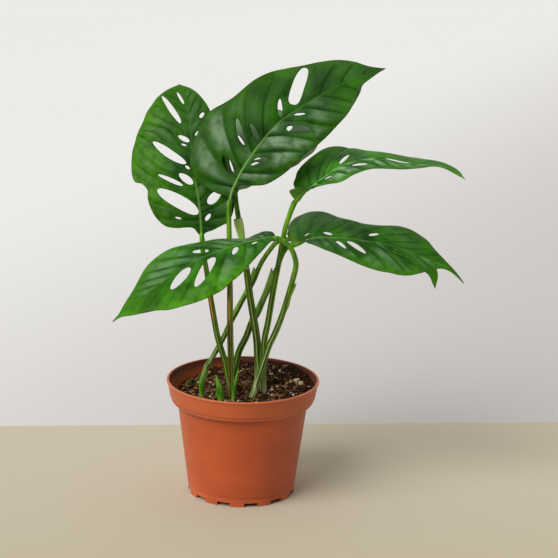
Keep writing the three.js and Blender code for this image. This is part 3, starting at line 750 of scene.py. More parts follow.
# The flat drawing as triangles, with columns of points that carry the midrib's rounding, and
# each point's distance from the nearest margin or hole
def flatBlade(blade, fine):
    shape = bladeShape
    spacing = shape["spacing"] * fine
    edgeSpacing = shape["edgeSpacing"] * fine
    loops = [bladeOutline(blade.leaf, blade.length, edgeSpacing)]
    for side, sign in ((1, 1), (0, -1)):
        loops += [holeOutline(hole, sign, edgeSpacing) for hole in blade.leaf["holes"][side]]
    inner = gridOver(loops[0].min(0), loops[0].max(0), spacing)
    inner = inner[np.abs(inner[:, 1]) > 2.3 * between(shape["ribHalf"], inner[:, 0] / blade.length)]
    ribX = np.arange(0.8, blade.length - 1, spacing * 0.9)
    ribWide = between(shape["ribHalf"], ribX / blade.length)
    inner = np.vstack([inner, *[np.stack([ribX, k * ribWide], -1) for k in shape["ribColumns"]]])
    inner = inner[insideOf(inner, loops[0])]
    for hole in loops[1:]:
        inner = inner[~insideOf(inner, hole)]
    inner = inner[distanceTo(inner, loops) > 0.45 * spacing]
    flat, faces = flatPatch(loops, inner)
    flat[np.abs(flat[:, 1]) < 1e-6, 1] = 0
    return flat, faces, distanceTo(flat, loops)


# Which two side veins each flat point lies between, and how many millimetres apart they are
def veinNumbers(blade, flat):
    x, y = flat.T
    _, _, step, sweep = reliefs[blade.name]
    root = veinRoot(x, np.abs(y), blade.length, sweep)
    phase = np.zeros(len(x))
    gap = np.zeros(len(x))
    near = 0.01       # the share of the rib over which the step is taken
    slanted = 0.8     # the veins are closer together across than along the rib
    for side, here in ((0, y < 0), (1, y >= 0)):
        stations = veinStations(blade.leaf["holes"][side], blade.length, step, sweep)
        numbers = np.arange(len(stations))
        phase[here] = np.interp(root[here], stations, numbers)
        slope = np.interp(root[here] + near, stations, numbers) - phase[here]
        gap[here] = near * blade.length / np.maximum(slope, 1e-3) * slanted
    return phase, gap


# Heights of the upper and the under side: swelling between the veins, a soft wave along the
# margin, grooves on the veins, and the midrib
def bladeRelief(blade, flat, rim, phase, gap, ribHalf):
    shape = bladeShape
    x, y = flat.T
    out = np.abs(y)
    share = x / blade.length
    swellLeft, swellRight, _, _ = reliefs[blade.name]
    seed = sum(map(ord, blade.name)) % 97
    swell = np.abs(np.sin(math.pi * phase)) ** 0.8
    fade = smoothStep(out, *shape["fromRib"]) * smoothStep(rim, *shape["fromRim"])
    fade = fade * smoothStep(1 - share, *shape["fromTip"])
    uneven = 0.75 + 0.5 * np.sin(2.1 * np.round(phase) + seed)
    quilt = np.where(y < 0, swellLeft, swellRight) * swell * fade * uneven * np.clip(gap / 10, 0.2, 1)
    wave = shape["ripple"] * np.sin(math.pi * phase * 0.9 + seed) * smoothStep(out, *shape["rippleFrom"])
    thin = shape["edgeThickness"]
    body = thin + (shape["thickness"] - thin) * smoothStep(rim, 0, 3)
    fromVein = np.abs(phase - np.round(phase)) * gap
    vein = np.exp(-((fromVein / shape["veinHalf"]) ** 2)) * smoothStep(rim, 0, 5) * smoothStep(out, 0, 3)
    inward = smoothStep(rim, 0, 1.5)
    bead = np.exp(-((out / ribHalf) ** 2))
    hollow = np.exp(-((out / (2.6 * ribHalf)) ** 2)) - bead
    ridge = between(shape["ridge"], share) * smoothStep(blade.length - x, 0, 12)
    ribTop = shape["ribTop"] * bead - shape["channel"] * hollow
    top = body / 2 + quilt + wave - shape["groove"] * vein + inward * ribTop
    under = -body / 2 + quilt + wave - shape["underGroove"] * vein - ridge * bead * inward
    return top, under


# A blade as one closed mesh with the numbers that its material reads
def bladeMesh(blade, fine=1.0):
    flat, faces, rim = flatBlade(blade, fine)
    x, y = flat.T
    phase, gap = veinNumbers(blade, flat)
    ribHalf = between(bladeShape["ribHalf"], x / blade.length)
    heights = bladeRelief(blade, flat, rim, phase, gap, ribHalf)
    turnedOver = blade.leaf.get("underFront", False)
    if turnedOver:
        heights = (-heights[1], -heights[0])
    points = np.vstack([blade.bend(x, y, height) for height in heights])
    count = len(flat)
    edges = [edge for a, b, c in faces.tolist() for edge in ((a, b), (b, c), (c, a))]
    known = set(edges)
    allFaces = [*faces[:, ::-1].tolist(), *(faces + count).tolist()]
    allFaces += [(a, b, b + count, a + count) for a, b in edges if (b, a) not in known]
    values = {
        "phase": phase, "gap": gap, "out": np.abs(y), "share": x / blade.length, "rim": rim,
        "ribHalf": ribHalf, "leftHalf": (y < 0) * 1.0,
    }
    values = {key: np.tile(numbers, 2) for key, numbers in values.items()}
    values["under"] = np.repeat((1.0, 0.0) if turnedOver else (0.0, 1.0), count)
    mesh = newMesh("leaf_" + blade.name, points, allFaces, values)
    corner = np.zeros(len(mesh.loops), int)
    mesh.loops.foreach_get("vertex_index", corner)
    uv = mesh.uv_layers.new(name="flat")
    uv.data.foreach_set("uv", (np.vstack([flat, flat])[corner] / 100).ravel())
    return mesh


# The furrow colour is painted shade in the side veins' grooves, and the grey-green sheen colour is a
# painted highlight on the swells
bladeColours = {
    "deep": (20, 62, 8), "mid": (48, 106, 14), "bright": (84, 148, 20),
    "furrow": (8, 34, 6), "rib": (128, 174, 80), "edge": (50, 62, 22),
    "under": (84, 132, 50), "underVein": (128, 164, 88), "paintedHighlight": (124, 152, 116),
    "gloss": 0.36, "underGloss": 0.6, "shine": 0.055,
}
# The scales of the mottling, the clouding, the skin's grain and the net of fine veins
bladeGrain = {"mottle": 3.2, "cloud": 11, "skin": 60, "net": 0.22, "netAcross": 14}
# What sets one blade apart: how light it is, its own tone together with painted light and shade for
# how brightly it is lit; how much of it is bright, how pale its midrib is and how much painted shade
# lies along its side veins, which also sets how strong their bump is. Then a grey highlight painted on
# the swells: its strength and the share of the rib where it ends, on the left and on the right half.
bladeLooks = {
    "back_left": {"light": 0.96, "bright": 0.75, "rib": 0.6, "veins": 0.75,
                  "paintedSheen": ((0.25, 0.9), (0.35, 1.1))},
    "top": {"light": 0.93, "bright": 0.35, "rib": 1.0, "veins": 0.85,
            "paintedSheen": ((0.95, 0.33), (1.0, 0.62))},
    "front_left": {"light": 1.14, "bright": 0.75, "rib": 0.35, "veins": 0.4,
                   "paintedSheen": ((0.35, 0.6), (0.4, 0.8))},
    "upper_right": {"light": 1.2, "bright": 0.7, "rib": 0.4, "veins": 0.35,
                    "paintedSheen": ((0.1, 0.5), (0.95, 1.1))},
    "lower_right": {"light": 1.08, "bright": 0.6, "rib": 0.45, "veins": 0.5,
                    "paintedSheen": ((0.12, 0.7), (0.5, 1.0))},
    "behind_top": {"light": 1.2, "bright": 0.2, "rib": 0.5, "veins": 0.5,
                   "paintedSheen": ((0.3, 0.9), (0.3, 0.9)), "under": (112, 136, 104)},
    "under_right": {"light": 1.8, "bright": 0.8, "rib": 0.5, "veins": 0.5,
                    "paintedSheen": ((0.1, 0.9), (0.1, 0.9)), "under": (54, 82, 30)},
}


def bladeMaterial(name):
    look = bladeLooks[name]
    colours = bladeColours
    grain = bladeGrain
    finish = Finish("leaf " + name.replace("_", " "))
    flat = finish.add("ShaderNodeUVMap", uv_map="flat")
    phase, gap, out, share = (finish.attribute(key) for key in ("phase", "gap", "out", "share"))
    rim, ribHalf, under = (finish.attribute(key) for key in ("rim", "ribHalf", "under"))
    leftHalf = finish.attribute("leftHalf")

    # A blade's tones are scaled by its lightness, which holds painted light and shade for how it is lit
    # besides its own tone
    def tone(key, more=1):
        return lighter(colours[key], look["light"] * more)

    # Lines on the side veins by the distance from them in millimetres, fainter towards margins. On the
    # upper side the first two darken the blade as painted shade in the vein grooves; underneath the first
    # marks the paler veins. The third is only a bump.
    fromVein = abs(phase - phase.math("ROUND")) * gap
    reach = rim.ramp(1, 7) * out.ramp(0.6, 3) * out.ramp(8, 40, 1, 0.45)
    veinLine, veinShade, furrow = (
        fromVein.ramp(*limits, 1, 0) * reach for limits in ((0.15, 0.9), (0.3, 3.2), (0.0, 1.3))
    )
    ribLine = (out / ribHalf).ramp(0.55, 1.15, 1, 0)
    ribLine = ribLine * share.ramp(0.05, 0.6, look["rib"], 0.25 * look["rib"])

    # Broad mottling, a lighter margin and a tone of its own for each panel between two veins
    mottle = finish.noise(flat, grain["mottle"], 3)
    cloud = finish.noise(flat, grain["cloud"], 4)
    colour = finish.mix(mottle.ramp(0.35, 0.68), tone("deep"), tone("mid"))
    margin = out.ramp(12, 42) * cloud.ramp(0.3, 0.7, 0.35, 1)
    bright = margin.math("ADD", share.ramp(0.55, 1.0, 0, 0.5), use_clamp=True) * look["bright"]
    colour = finish.mix(bright, colour, tone("bright"))
    panel = phase.math("FLOOR") + leftHalf * 31
    panelTone = finish.add("ShaderNodeTexWhiteNoise", {"W": panel}, noise_dimensions="1D")
    colour = finish.mix(panelTone.ramp(0, 1, 0, 0.28), colour, tone("deep"))
    # Painted shade along the side veins
    colour = finish.mix(veinShade * (0.3 * look["veins"]), colour, tone("deep", 0.8))

    # A painted grey highlight on each swell, more on its tipward side and less towards the margin
    step = phase.math("FRACT")
    highlightMask = step.ramp(0.08, 0.45) * step.ramp(0.84, 0.98, 1, 0)
    highlightMask = highlightMask * rim.ramp(2, 14, 0.1, 1) * cloud.ramp(0.25, 0.6, 0.2, 1)
    left, right = (share.ramp(end - 0.12, end + 0.12, strength, 0) for strength, end in look["paintedSheen"])
    strength = finish.add("ShaderNodeMix", {0: leftHalf.ramp(0.45, 0.55), 2: right, 3: left})
    colour = finish.mix(highlightMask * strength, colour, tone("paintedHighlight"))
    # Painted shade in the side veins' grooves
    colour = finish.mix(veinLine * (0.6 * look["veins"]), colour, tone("furrow"))
    colour = finish.mix(ribLine, colour, tone("rib"))
    colour = finish.mix(rim.ramp(0.1, 0.9, 0.45, 0), colour, tone("edge"))

    # The duller, paler underside
    pale = look.get("under", colours["under"])
    # The underside takes the same lightness, with its painted light and shade
    light = look["light"]
    below = finish.mix(mottle.ramp(0.3, 0.7), lighter(pale, light * 0.92), lighter(pale, light * 1.1))
    below = finish.mix(veinLine * 0.75, below, colours["underVein"])
    below = finish.mix(ribLine, below, lighter(colours["rib"], 1.08))
    isUnder = under.ramp(0.45, 0.55)
    colour = finish.mix(isUnder, colour, below)
    gloss = cloud.ramp(0.3, 0.7, colours["gloss"] - 0.05, colours["gloss"] + 0.08)
    gloss = gloss + isUnder * (colours["underGloss"] - colours["gloss"])

    # The net of fine veins, the grain of the skin and the side veins' furrows
    netPlace = finish.join(X=phase * grain["netAcross"], Y=out, Z=under)
    net = finish.cells(netPlace, grain["net"], feature="DISTANCE_TO_EDGE")
    normal = finish.bump(net.ramp(0, 0.16), 0.12, 0.0005)
    normal = finish.bump(finish.noise(flat, grain["skin"], 3), 0.12, 0.0003, normal)
    normal = finish.bump(furrow * -1, 0.5 * look["veins"], 0.0008, normal)
    return finish.done(colour, gloss, normal, colours["shine"])


blades = {name: Blade(name, leaf) for name, leaf in leaves.items()}
for name, blade in blades.items():
    addPiece(name + "_blade", bladeMesh(blade), bladeMaterial(name), ["leaf_" + name])
print("blades made")


# A Geometry Nodes tree with named inputs, which growFrom() runs on a mesh
class ShapeTree(Graph):
    kinds = {"number": "NodeSocketFloat", "count": "NodeSocketInt", "material": "NodeSocketMaterial"}

    def __init__(self, name, **inputs):
        super().__init__(bpy.data.node_groups.new(name, "GeometryNodeTree"))
        face = self.tree.interface
        face.new_socket("Geometry", in_out="INPUT", socket_type="NodeSocketGeometry")
        face.new_socket("Geometry", in_out="OUTPUT", socket_type="NodeSocketGeometry")
        self.identifiers = {}
        for key, kind in {**inputs, "finish": "material"}.items():
            socket = face.new_socket(key, in_out="INPUT", socket_type=self.kinds[kind])
            self.identifiers[key] = socket.identifier
        entry = self.tree.nodes.new("NodeGroupInput")
        self.given = {socket.name: Wire(self, socket) for socket in entry.outputs}

    def named(self, name, kind="FLOAT"):
        return self.add("GeometryNodeInputNamedAttribute", {"Name": name}, data_type=kind)

    def keep(self, geometry, name, value, kind="FLOAT", domain="POINT"):
        inputs = {"Geometry": geometry, "Name": name, "Value": value}
        return self.add("GeometryNodeStoreNamedAttribute", inputs, data_type=kind, domain=domain)

    def realized(self, geometry):
        return self.add("GeometryNodeRealizeInstances", {"Geometry": geometry})

    # Copies of a shape, each at one of the points
    def copies(self, points, shape, turn, **more):
        inputs = {"Points": points, "Instance": shape, "Rotation": self.turned(turn), **more}
        return self.add("GeometryNodeInstanceOnPoints", inputs)

    def turned(self, angles):
        return self.add("FunctionNodeEulerToRotation", {"Euler": angles})

    def close(self, geometry):
        inputs = {"Geometry": self.realized(geometry), "Material": self.given["finish"]}
        done = self.add("GeometryNodeSetMaterial", inputs)
        self.put(done, self.tree.nodes.new("NodeGroupOutput").inputs["Geometry"])
        return self


def growFrom(mesh, shape, **values):
    carrier = addObject("carrier", mesh)
    modifier = carrier.modifiers.new("shape", "NODES")
    modifier.node_group = shape.tree
    for key, value in values.items():
        modifier[shape.identifiers[key]] = value
    graph = bpy.context.evaluated_depsgraph_get()
    graph.update()
    grown = bpy.data.meshes.new_from_object(
        carrier.evaluated_get(graph), preserve_all_data_layers=True, depsgraph=graph
    )
    carrier.modifiers.remove(modifier)
    bpy.data.objects.remove(carrier)
    return outward(grown)


# Stems: a round section with a shallow channel, swept along a line of changing radius
def stemTree():
    shape = ShapeTree("stem sweep", sides="count", channelDepth="number", channelWidth="number")
    given = shape.given
    line = shape.add("GeometryNodeMeshToCurve", {"Mesh": given["Geometry"]})
    inputs = {"Curve": line, "Normal": shape.named("facing", "FLOAT_VECTOR")}
    line = shape.add("GeometryNodeSetCurveNormal", inputs, mode="FREE")
    line = shape.keep(line, "along", shape.add("GeometryNodeSplineParameter", output="Factor"))
    ring = shape.add("GeometryNodeCurvePrimitiveCircle", {"Resolution": given["sides"], "Radius": 1.0})
    place = shape.add("GeometryNodeInputPosition")
    section = shape.keep(ring, "section", place, "FLOAT_VECTOR")
    x, y, _ = shape.split(place)
    bell = (y.math("ARCTAN2", x) / given["channelWidth"]).math("POWER", 2)
    bell = (bell * -1).math("EXPONENT")
    scaled = shape.vector("SCALE", place, scale=1 - bell * given["channelDepth"])
    section = shape.add("GeometryNodeSetPosition", {"Geometry": section, "Position": scaled})
    inputs = {"Curve": line, "Profile Curve": section, "Scale": shape.named("radius"), "Fill Caps": True}
    swept = shape.add("GeometryNodeCurveToMesh", inputs)
    return shape.close(shape.add("GeometryNodeSetShadeSmooth", {"Geometry": swept}))


stemSweep = stemTree()


# Lines of points, each with its radius and the way that the stem's channel faces there
def sweptLines(name, points, edges, radii, facing, **values):
    mesh = bpy.data.meshes.new(name)
    mesh.from_pydata(inFrame(points).tolist(), edges, [])
    radius = mesh.attributes.new("radius", "FLOAT", "POINT")
    radius.data.foreach_set("value", np.asarray(radii) / 1000)
    channel = mesh.attributes.new("facing", "FLOAT_VECTOR", "POINT")
    channel.data.foreach_set("vector", np.ravel(facing))
    return growFrom(mesh, stemSweep, **values)


def stemMesh(name, path, radii, facing, finish, sides=18, depth=0.16, width=0.55):
    facing = squareTo(np.array(facing, float), unit(np.gradient(path, axis=0)))
    edges = [(k, k + 1) for k in range(len(path) - 1)]
    return sweptLines(name, path, edges, radii, facing, sides=sides, channelDepth=depth,
                      channelWidth=width, finish=finish)


# Petioles run from below the mix to the blade's base, swell at the knee and go on as its midrib
petioleShape = {
    "knee": 5, "seat": 0.3, "swelling": 0.16, "swellingAt": 6, "swellingLength": 7,
    "runOn": (1.5, 13), "runOnThins": (0.92, 0.75), "spacing": 2.2, "channelFaces": (0.25, -1, 0.1),
}
# The pale colour is for the stripes of painted highlight
petioleColours = {
    "green": (112, 176, 16), "deep": (58, 114, 8), "pale": (214, 236, 168), "foot": (206, 226, 160),
    "line": (88, 30, 22), "streak": (230, 170, 76), "shine": 0.22,
}
# Each petiole's dark lines as their place round it, from the channel, and half width, in degrees;
# then how strong its lines, its pale stripes, which are painted highlights, and its pale foot are.
# streak is the strength of its dry streak and where along it that starts and ends.
petioleLooks = {
    "back_left": {"lines": ((-68, 16), (-6, 7), (66, 9)), "red": 1.0, "pale": 0.35, "foot": 0.1,
                  "streak": (0.9, 0.49, 0.66)},
    "top": {"lines": ((-70, 8), (-34, 15), (12, 6), (58, 12)), "red": 1.0, "pale": 0.8, "foot": 0.05,
            "streak": (0.85, 0.42, 0.52)},
    "front_left": {"lines": ((-70, 9), (-2, 7), (66, 9)), "red": 0.8, "pale": 1.0, "foot": 0.5},
    "upper_right": {"lines": ((-58, 9), (10, 7), (70, 9)), "red": 0.8, "pale": 0.6, "foot": 0.6},
    "lower_right": {"lines": ((-60, 9), (6, 7), (70, 9)), "red": 0.95, "pale": 0.5, "foot": 0.1},
    "behind_top": {"lines": ((-62, 9), (4, 7), (56, 16)), "red": 1.0, "pale": 0.9, "foot": 0.4},
    "under_right": {"lines": ((-56, 9), (12, 7), (76, 12)), "red": 0.8, "pale": 0.9, "foot": 0.3},
}


def petiolePath(blade):
    shape = petioleShape
    base = blade.rib.at(np.array([0.0]))[0]
    ahead = blade.rib.ahead(np.array([0.0]))[0]
    knots = [*blade.leaf["petiole"]["path"], base - ahead * shape["knee"], base - ahead * shape["seat"]]
    path = evenly(smoothPath(knots, 24), shape["spacing"])
    share = np.linspace(0, 1, len(path))
    fromKnee = (1 - share) * (len(path) - 1) * shape["spacing"] - shape["swellingAt"]
    knee = 1 + shape["swelling"] * np.exp(-((fromKnee / shape["swellingLength"]) ** 2))
    radii = between(blade.leaf["petiole"]["radii"], share) * knee

    # Under the blade the stalk thins out into the midrib
    x = np.linspace(*shape["runOn"], 7)
    first, last = shape["runOnThins"]
    thinner = np.linspace(radii[-1] * first, last, len(x))
    up, _ = blade.upAt(x)
    under = blade.rib.at(x) - up * (thinner * np.linspace(0.5, 1.15, len(x)))[:, None]
    return np.vstack([path, under]), np.concatenate([radii, thinner])


def petioleMaterial(name):
    look = petioleLooks[name]
    colours = petioleColours
    finish = Finish("petiole " + name.replace("_", " "))
    place = finish.place()
    along, angle = finish.onStem()
    streaks = finish.noise(finish.stretched(place, (300, 300, 22)), 1.0, 3)
    blotch = finish.noise(place, 90, 3)
    wander = (finish.noise(place, 30, 2) - 0.5) * 20
    angle = angle * (180 / math.pi) + wander
    colour = finish.mix(streaks.ramp(0.35, 0.65), colours["deep"], colours["green"])
    # Two pale stripes of painted highlight, at fixed angles beside the channel, which faces the front
    for off, strength in ((-24, 1.0), (38, 0.7)):
        highlightStripe = abs(angle - off).ramp(4, 11, look["pale"] * strength, 0) * along.ramp(0.3, 0.62, 1, 0.12)
        colour = finish.mix(highlightStripe, colour, colours["pale"])
    for line, width in look["lines"]:
        dark = abs(angle - line).ramp(0.8 * width, 1.7 * width, look["red"], 0)
        dark = dark * blotch.ramp(0.3, 0.5, 0.7, 1) * along.ramp(0.55, 0.92, 1, 0.1)
        colour = finish.mix(dark, colour, colours["line"])
    if "streak" in look:
        strength, low, high = look["streak"]
        band = along.ramp(low - 0.03, low + 0.03) * along.ramp(high - 0.03, high + 0.03, 1, 0)
        colour = finish.mix(band * abs(angle + 30).ramp(6, 22, strength, 0), colour, colours["streak"])
    foot = along.ramp(0.1, 0.24, 1, 0) * streaks.ramp(0.42, 0.6, 0.1, 1) * look["foot"]
    colour = finish.mix(foot, colour, colours["foot"])
    normal = finish.bump(streaks, 0.35, 0.0005)
    normal = finish.bump(finish.noise(place, 900, 2), 0.12, 0.0002, normal)
    return finish.done(colour, blotch.ramp(0.3, 0.7, 0.36, 0.5), normal, colours["shine"])


# A sheath is a thin sleeve open on one side, with a free tip at its upper end
sheathShape = {"wall": 0.5, "columns": 13, "stand": 0.15, "waves": 0.25, "narrower": 12, "ragged": 0.6}
sheathColours = {
    "green": {"pale": (160, 206, 78), "deep": (98, 152, 32)},
    "pale": {"pale": (200, 222, 140), "deep": (160, 206, 78)},
    "edge": (60, 48, 24),
}


def sheathMaterial(name, kind):
    finish = Finish(name)
    streaks = finish.noise(finish.stretched(finish.place(), (260, 260, 30)), 1.0, 3)
    colours = sheathColours[kind]
    colour = finish.mix(streaks.ramp(0.35, 0.7), colours["deep"], colours["pale"])
    edge = finish.attribute("edge").ramp(0.8, 0.97) * 0.7
    colour = finish.mix(edge, colour, sheathColours["edge"])
    return finish.done(colour, streaks.ramp(0.3, 0.7, 0.45, 0.6), finish.bump(streaks, 0.4, 0.0005))


def sheathMesh(name, path, radii, sheath):
    shape = sheathShape
    count = len(path) - 1
    first, last = int(sheath["from"] * count), int(sheath["to"] * count)
    rows = np.arange(first, last + 1)
    share = (rows - first) / (last - first)
    tangent = unit(np.gradient(path, axis=0))[rows]
    side = squareTo(np.array([*sheath["beside"], 0.0]), tangent)
    cross = np.cross(tangent, side)
    halfTurn = np.radians(sheath["wrap"] - shape["narrower"] * smoothStep(share, 0.5, 1))
    stand = shape["stand"] + shape["waves"] * np.sin(9 * share)
    stand = stand + sheath["stand"] * smoothStep(share, 0.45, 1)
    turns = np.linspace(-1, 1, shape["columns"])
    points, edges = [], []
    for wall in (shape["wall"], 0):
        for k, row in enumerate(rows):
            thin = smoothStep(share[k], 0, 0.12)
            angle = turns * halfTurn[k]
            wallHere = wall * (0.3 + 0.7 * np.cos(turns * 1.3)) * (0.3 + 0.7 * thin)
            size = radii[row] + stand[k] * thin + wallHere
            tip = (k == len(rows) - 1) * shape["ragged"]
            ragged = tangent[k] * tip * np.cos(turns * 2.2)[:, None]
            around = np.cos(angle)[:, None] * side[k] + np.sin(angle)[:, None] * cross[k]
            points.append(path[row] + size[:, None] * around + ragged)
            edges.append(np.maximum(np.abs(turns), share[k] ** 12))
    faces = shellFaces(len(rows), len(turns))
    return outward(newMesh(name, np.vstack(points), faces, {"edge": np.concatenate(edges)}))


# Faces of a thin sheet of rows and columns: its outer and inner side, then its four edges
def shellFaces(rows, columns):
    inner = rows * columns
    faces = []
    for k in range(rows - 1):
        for a in range(k * columns, (k + 1) * columns - 1):
            faces.append((a, a + 1, a + columns + 1, a + columns))
            b = a + inner
            faces.append((b, b + columns, b + columns + 1, b + 1))
        first, last = k * columns, (k + 1) * columns - 1
        faces.append((first, first + columns, first + columns + inner, first + inner))
        faces.append((last + inner, last + columns + inner, last + columns, last))
    for a in range(columns - 1):
        faces.append((a, a + inner, a + 1 + inner, a + 1))
    for a in range(inner - columns, inner - 1):
        faces.append((a + 1, a + 1 + inner, a + inner, a))
    return faces


sheathFinishes = {
    "green": sheathMaterial("sheath", "green"), "pale": sheathMaterial("pale sheath", "pale"),
}
for name, blade in blades.items():
    path, radii = petiolePath(blade)
    mesh = stemMesh("petiole_" + name, path, radii, petioleShape["channelFaces"], petioleMaterial(name))
    addPiece(name + "_petiole", mesh, None, ["petiole_" + name])
    sheath = blade.leaf["petiole"].get("sheath")
    if sheath:
        mesh = sheathMesh(name + "_sheath", path, radii, sheath)
        addPiece(name + "_sheath", mesh, sheathFinishes[sheath.get("finish", "green")])
print("petioles and sheaths made")


# The pot: a profile turned about its axis, then notches and drain holes cut by Geometry Nodes.
# A corner is its radius, its height and how far it is rounded: outside goes from the top of the
# foot ring up to the lip, inside from the pot's floor up.
pot = {
    "height": 116.3, "lipRadius": 76, "lipDepth": 1.9, "lipWidth": 2.6,
    "footRadius": 53.3, "footInner": 50.9, "footHeight": 8.4, "floorUnder": 6,
    "outside": (
        (53.05, 8.8, 0.2), (54, 9.4, 0.8), (64.7, 91.6, 1), (67.5, 92, 2.2), (71.0, 95.8, 1.4),
        (71.2, 97.6, 0.5), (72.5, 99.6, 0.7), (74.9, 113.7, 0.6),
    ),
    "inside": (
        (51.4, 7.8, 0.3), (52.4, 8.8, 0.8), (63.0, 93.1, 0.5), (66.5, 94.1, 0.6), (69.4, 96.5, 0.8),
        (71.0, 99.5, 0.8), (73.2, 114.3, 0.5),
    ),
    "sectors": 168, "sharpFrom": 38,
    "notches": 12, "notchWidth": 13.7, "notchHeight": 4, "firstNotch": 12,
    "drainHoles": 8, "drainRadius": 4.5, "drainRing": 38, "cutDepth": 12,
}
# The worn colour serves both real wear and the lip's painted highlight; deep also paints the shade in the
# collar's groove
potColours = {
    "plastic": (198, 86, 37), "wearAndHighlight": (204, 112, 66), "deep": (156, 66, 32),
    # inner is painted shade for the inside wall; soiled is real dirt
    "soiled": (84, 50, 34), "inner": (96, 38, 20), "gloss": 0.42,
}
# Where the pot's finish changes, in metres above the ground. A point belongs to the inner wall
# when it is nearer the axis than a radius that grows with the height, in the body and in the
# collar: that radius, its growth and the height that it is taken at.
potBands = {
    "collar": (0.094, 0.0965), "creaseShade": 0.0978, "creaseHalf": (0.0001, 0.0007),
    "lip": (0.1145, 0.1163), "foot": (0.0, 0.012), "soil": (0.03, 0.05), "collarFrom": 0.0935,
    "bodyWall": (0.0532, 0.13, 0.0094), "collarWall": (0.0698, 0.2, 0.0945),
}


def innerWall(z):
    radii, heights, _ = zip(*pot["inside"])
    return np.interp(z, heights, radii)


# Rounds each corner of a profile by a few short steps
def roundedProfile(corners):
    rounded = []
    count = len(corners)
    for k, (x, z, radius) in enumerate(corners):
        here = np.array([x, z], float)
        before = np.array(corners[(k - 1) % count][:2], float) - here
        after = np.array(corners[(k + 1) % count][:2], float) - here
        start = here + unit(before) * min(radius, np.linalg.norm(before) * 0.45)
        end = here + unit(after) * min(radius, np.linalg.norm(after) * 0.45)
        for t in np.linspace(0, 1, 5):
            rounded.append((1 - t) ** 2 * start + 2 * t * (1 - t) * here + t**2 * end)
    return np.array(rounded)


def potMesh():
    top, lip, foot, footInner = pot["height"], pot["lipRadius"], pot["footRadius"], pot["footInner"]
    profile = roundedProfile([
        (footInner, pot["floorUnder"], 0.5), (footInner, 0, 0.4), (foot, 0, 0.5),
        (foot, pot["footHeight"], 0.3), *pot["outside"], (lip, top - pot["lipDepth"], 0.7),
        (lip, top, 1.0), (lip - pot["lipWidth"], top, 0.8), *pot["inside"][::-1],
    ])
    sectors = pot["sectors"]
    turn = np.linspace(0, 2 * math.pi, sectors, endpoint=False)
    rings = np.stack([
        np.outer(profile[:, 0], np.cos(turn)), np.outer(profile[:, 0], np.sin(turn)),
        np.repeat(profile[:, 1:], sectors, 1),
    ], -1).reshape(-1, 3)
    underside, floor = len(rings), len(rings) + 1
    last = len(rings) - sectors
    faces = []
    for start in range(0, last, sectors):
        for j in range(sectors):
            a, b = start + j, start + (j + 1) % sectors
            faces.append((a, b, b + sectors, a + sectors))
    for j in range(sectors):
        n = (j + 1) % sectors
        faces.append((n, j, underside))
        faces.append((last + j, last + n, floor))
    middles = [(0, 0, pot["floorUnder"]), (0, 0, pot["inside"][0][1])]
    return newMesh("pot", np.vstack([rings, middles]), faces)


def potTree():
    shape = ShapeTree(
        "pot cuts", notches="count", notchWidth="number", notchHeight="number", notchRing="number",
        firstNotch="number", drainHoles="count", drainRadius="number", drainRing="number",
        axisX="number", deep="number",
    )
    given = shape.given

    def ringOf(count, radius, first, cutter):
        angle = shape.add("GeometryNodeInputIndex") * (2 * math.pi / count) + first
        spot = shape.join(X=angle.math("COSINE") * radius + given["axisX"], Y=angle.math("SINE") * radius)
        points = shape.add("GeometryNodePoints", {"Count": count})
        placed = shape.add("GeometryNodeSetPosition", {"Geometry": points, "Position": spot})
        return shape.realized(shape.copies(placed, cutter, shape.join(Z=angle)))

    size = shape.join(X=given["deep"], Y=given["notchWidth"], Z=given["notchHeight"] * 2)
    box = shape.add("GeometryNodeMeshCube", {"Size": size})
    inputs = {"Vertices": 24, "Radius": given["drainRadius"], "Depth": given["deep"] * 2}
    drill = shape.add("GeometryNodeMeshCylinder", inputs)
    body = given["Geometry"]
    for cutter in (
        ringOf(given["notches"], given["notchRing"], given["firstNotch"], box),
        ringOf(given["drainHoles"], given["drainRing"], 0.0, drill),
    ):
        inputs = {"Mesh 1": body, "Mesh 2": cutter}
        body = shape.add("GeometryNodeMeshBoolean", inputs, "Mesh", operation="DIFFERENCE", solver="EXACT")
    return shape.close(body)


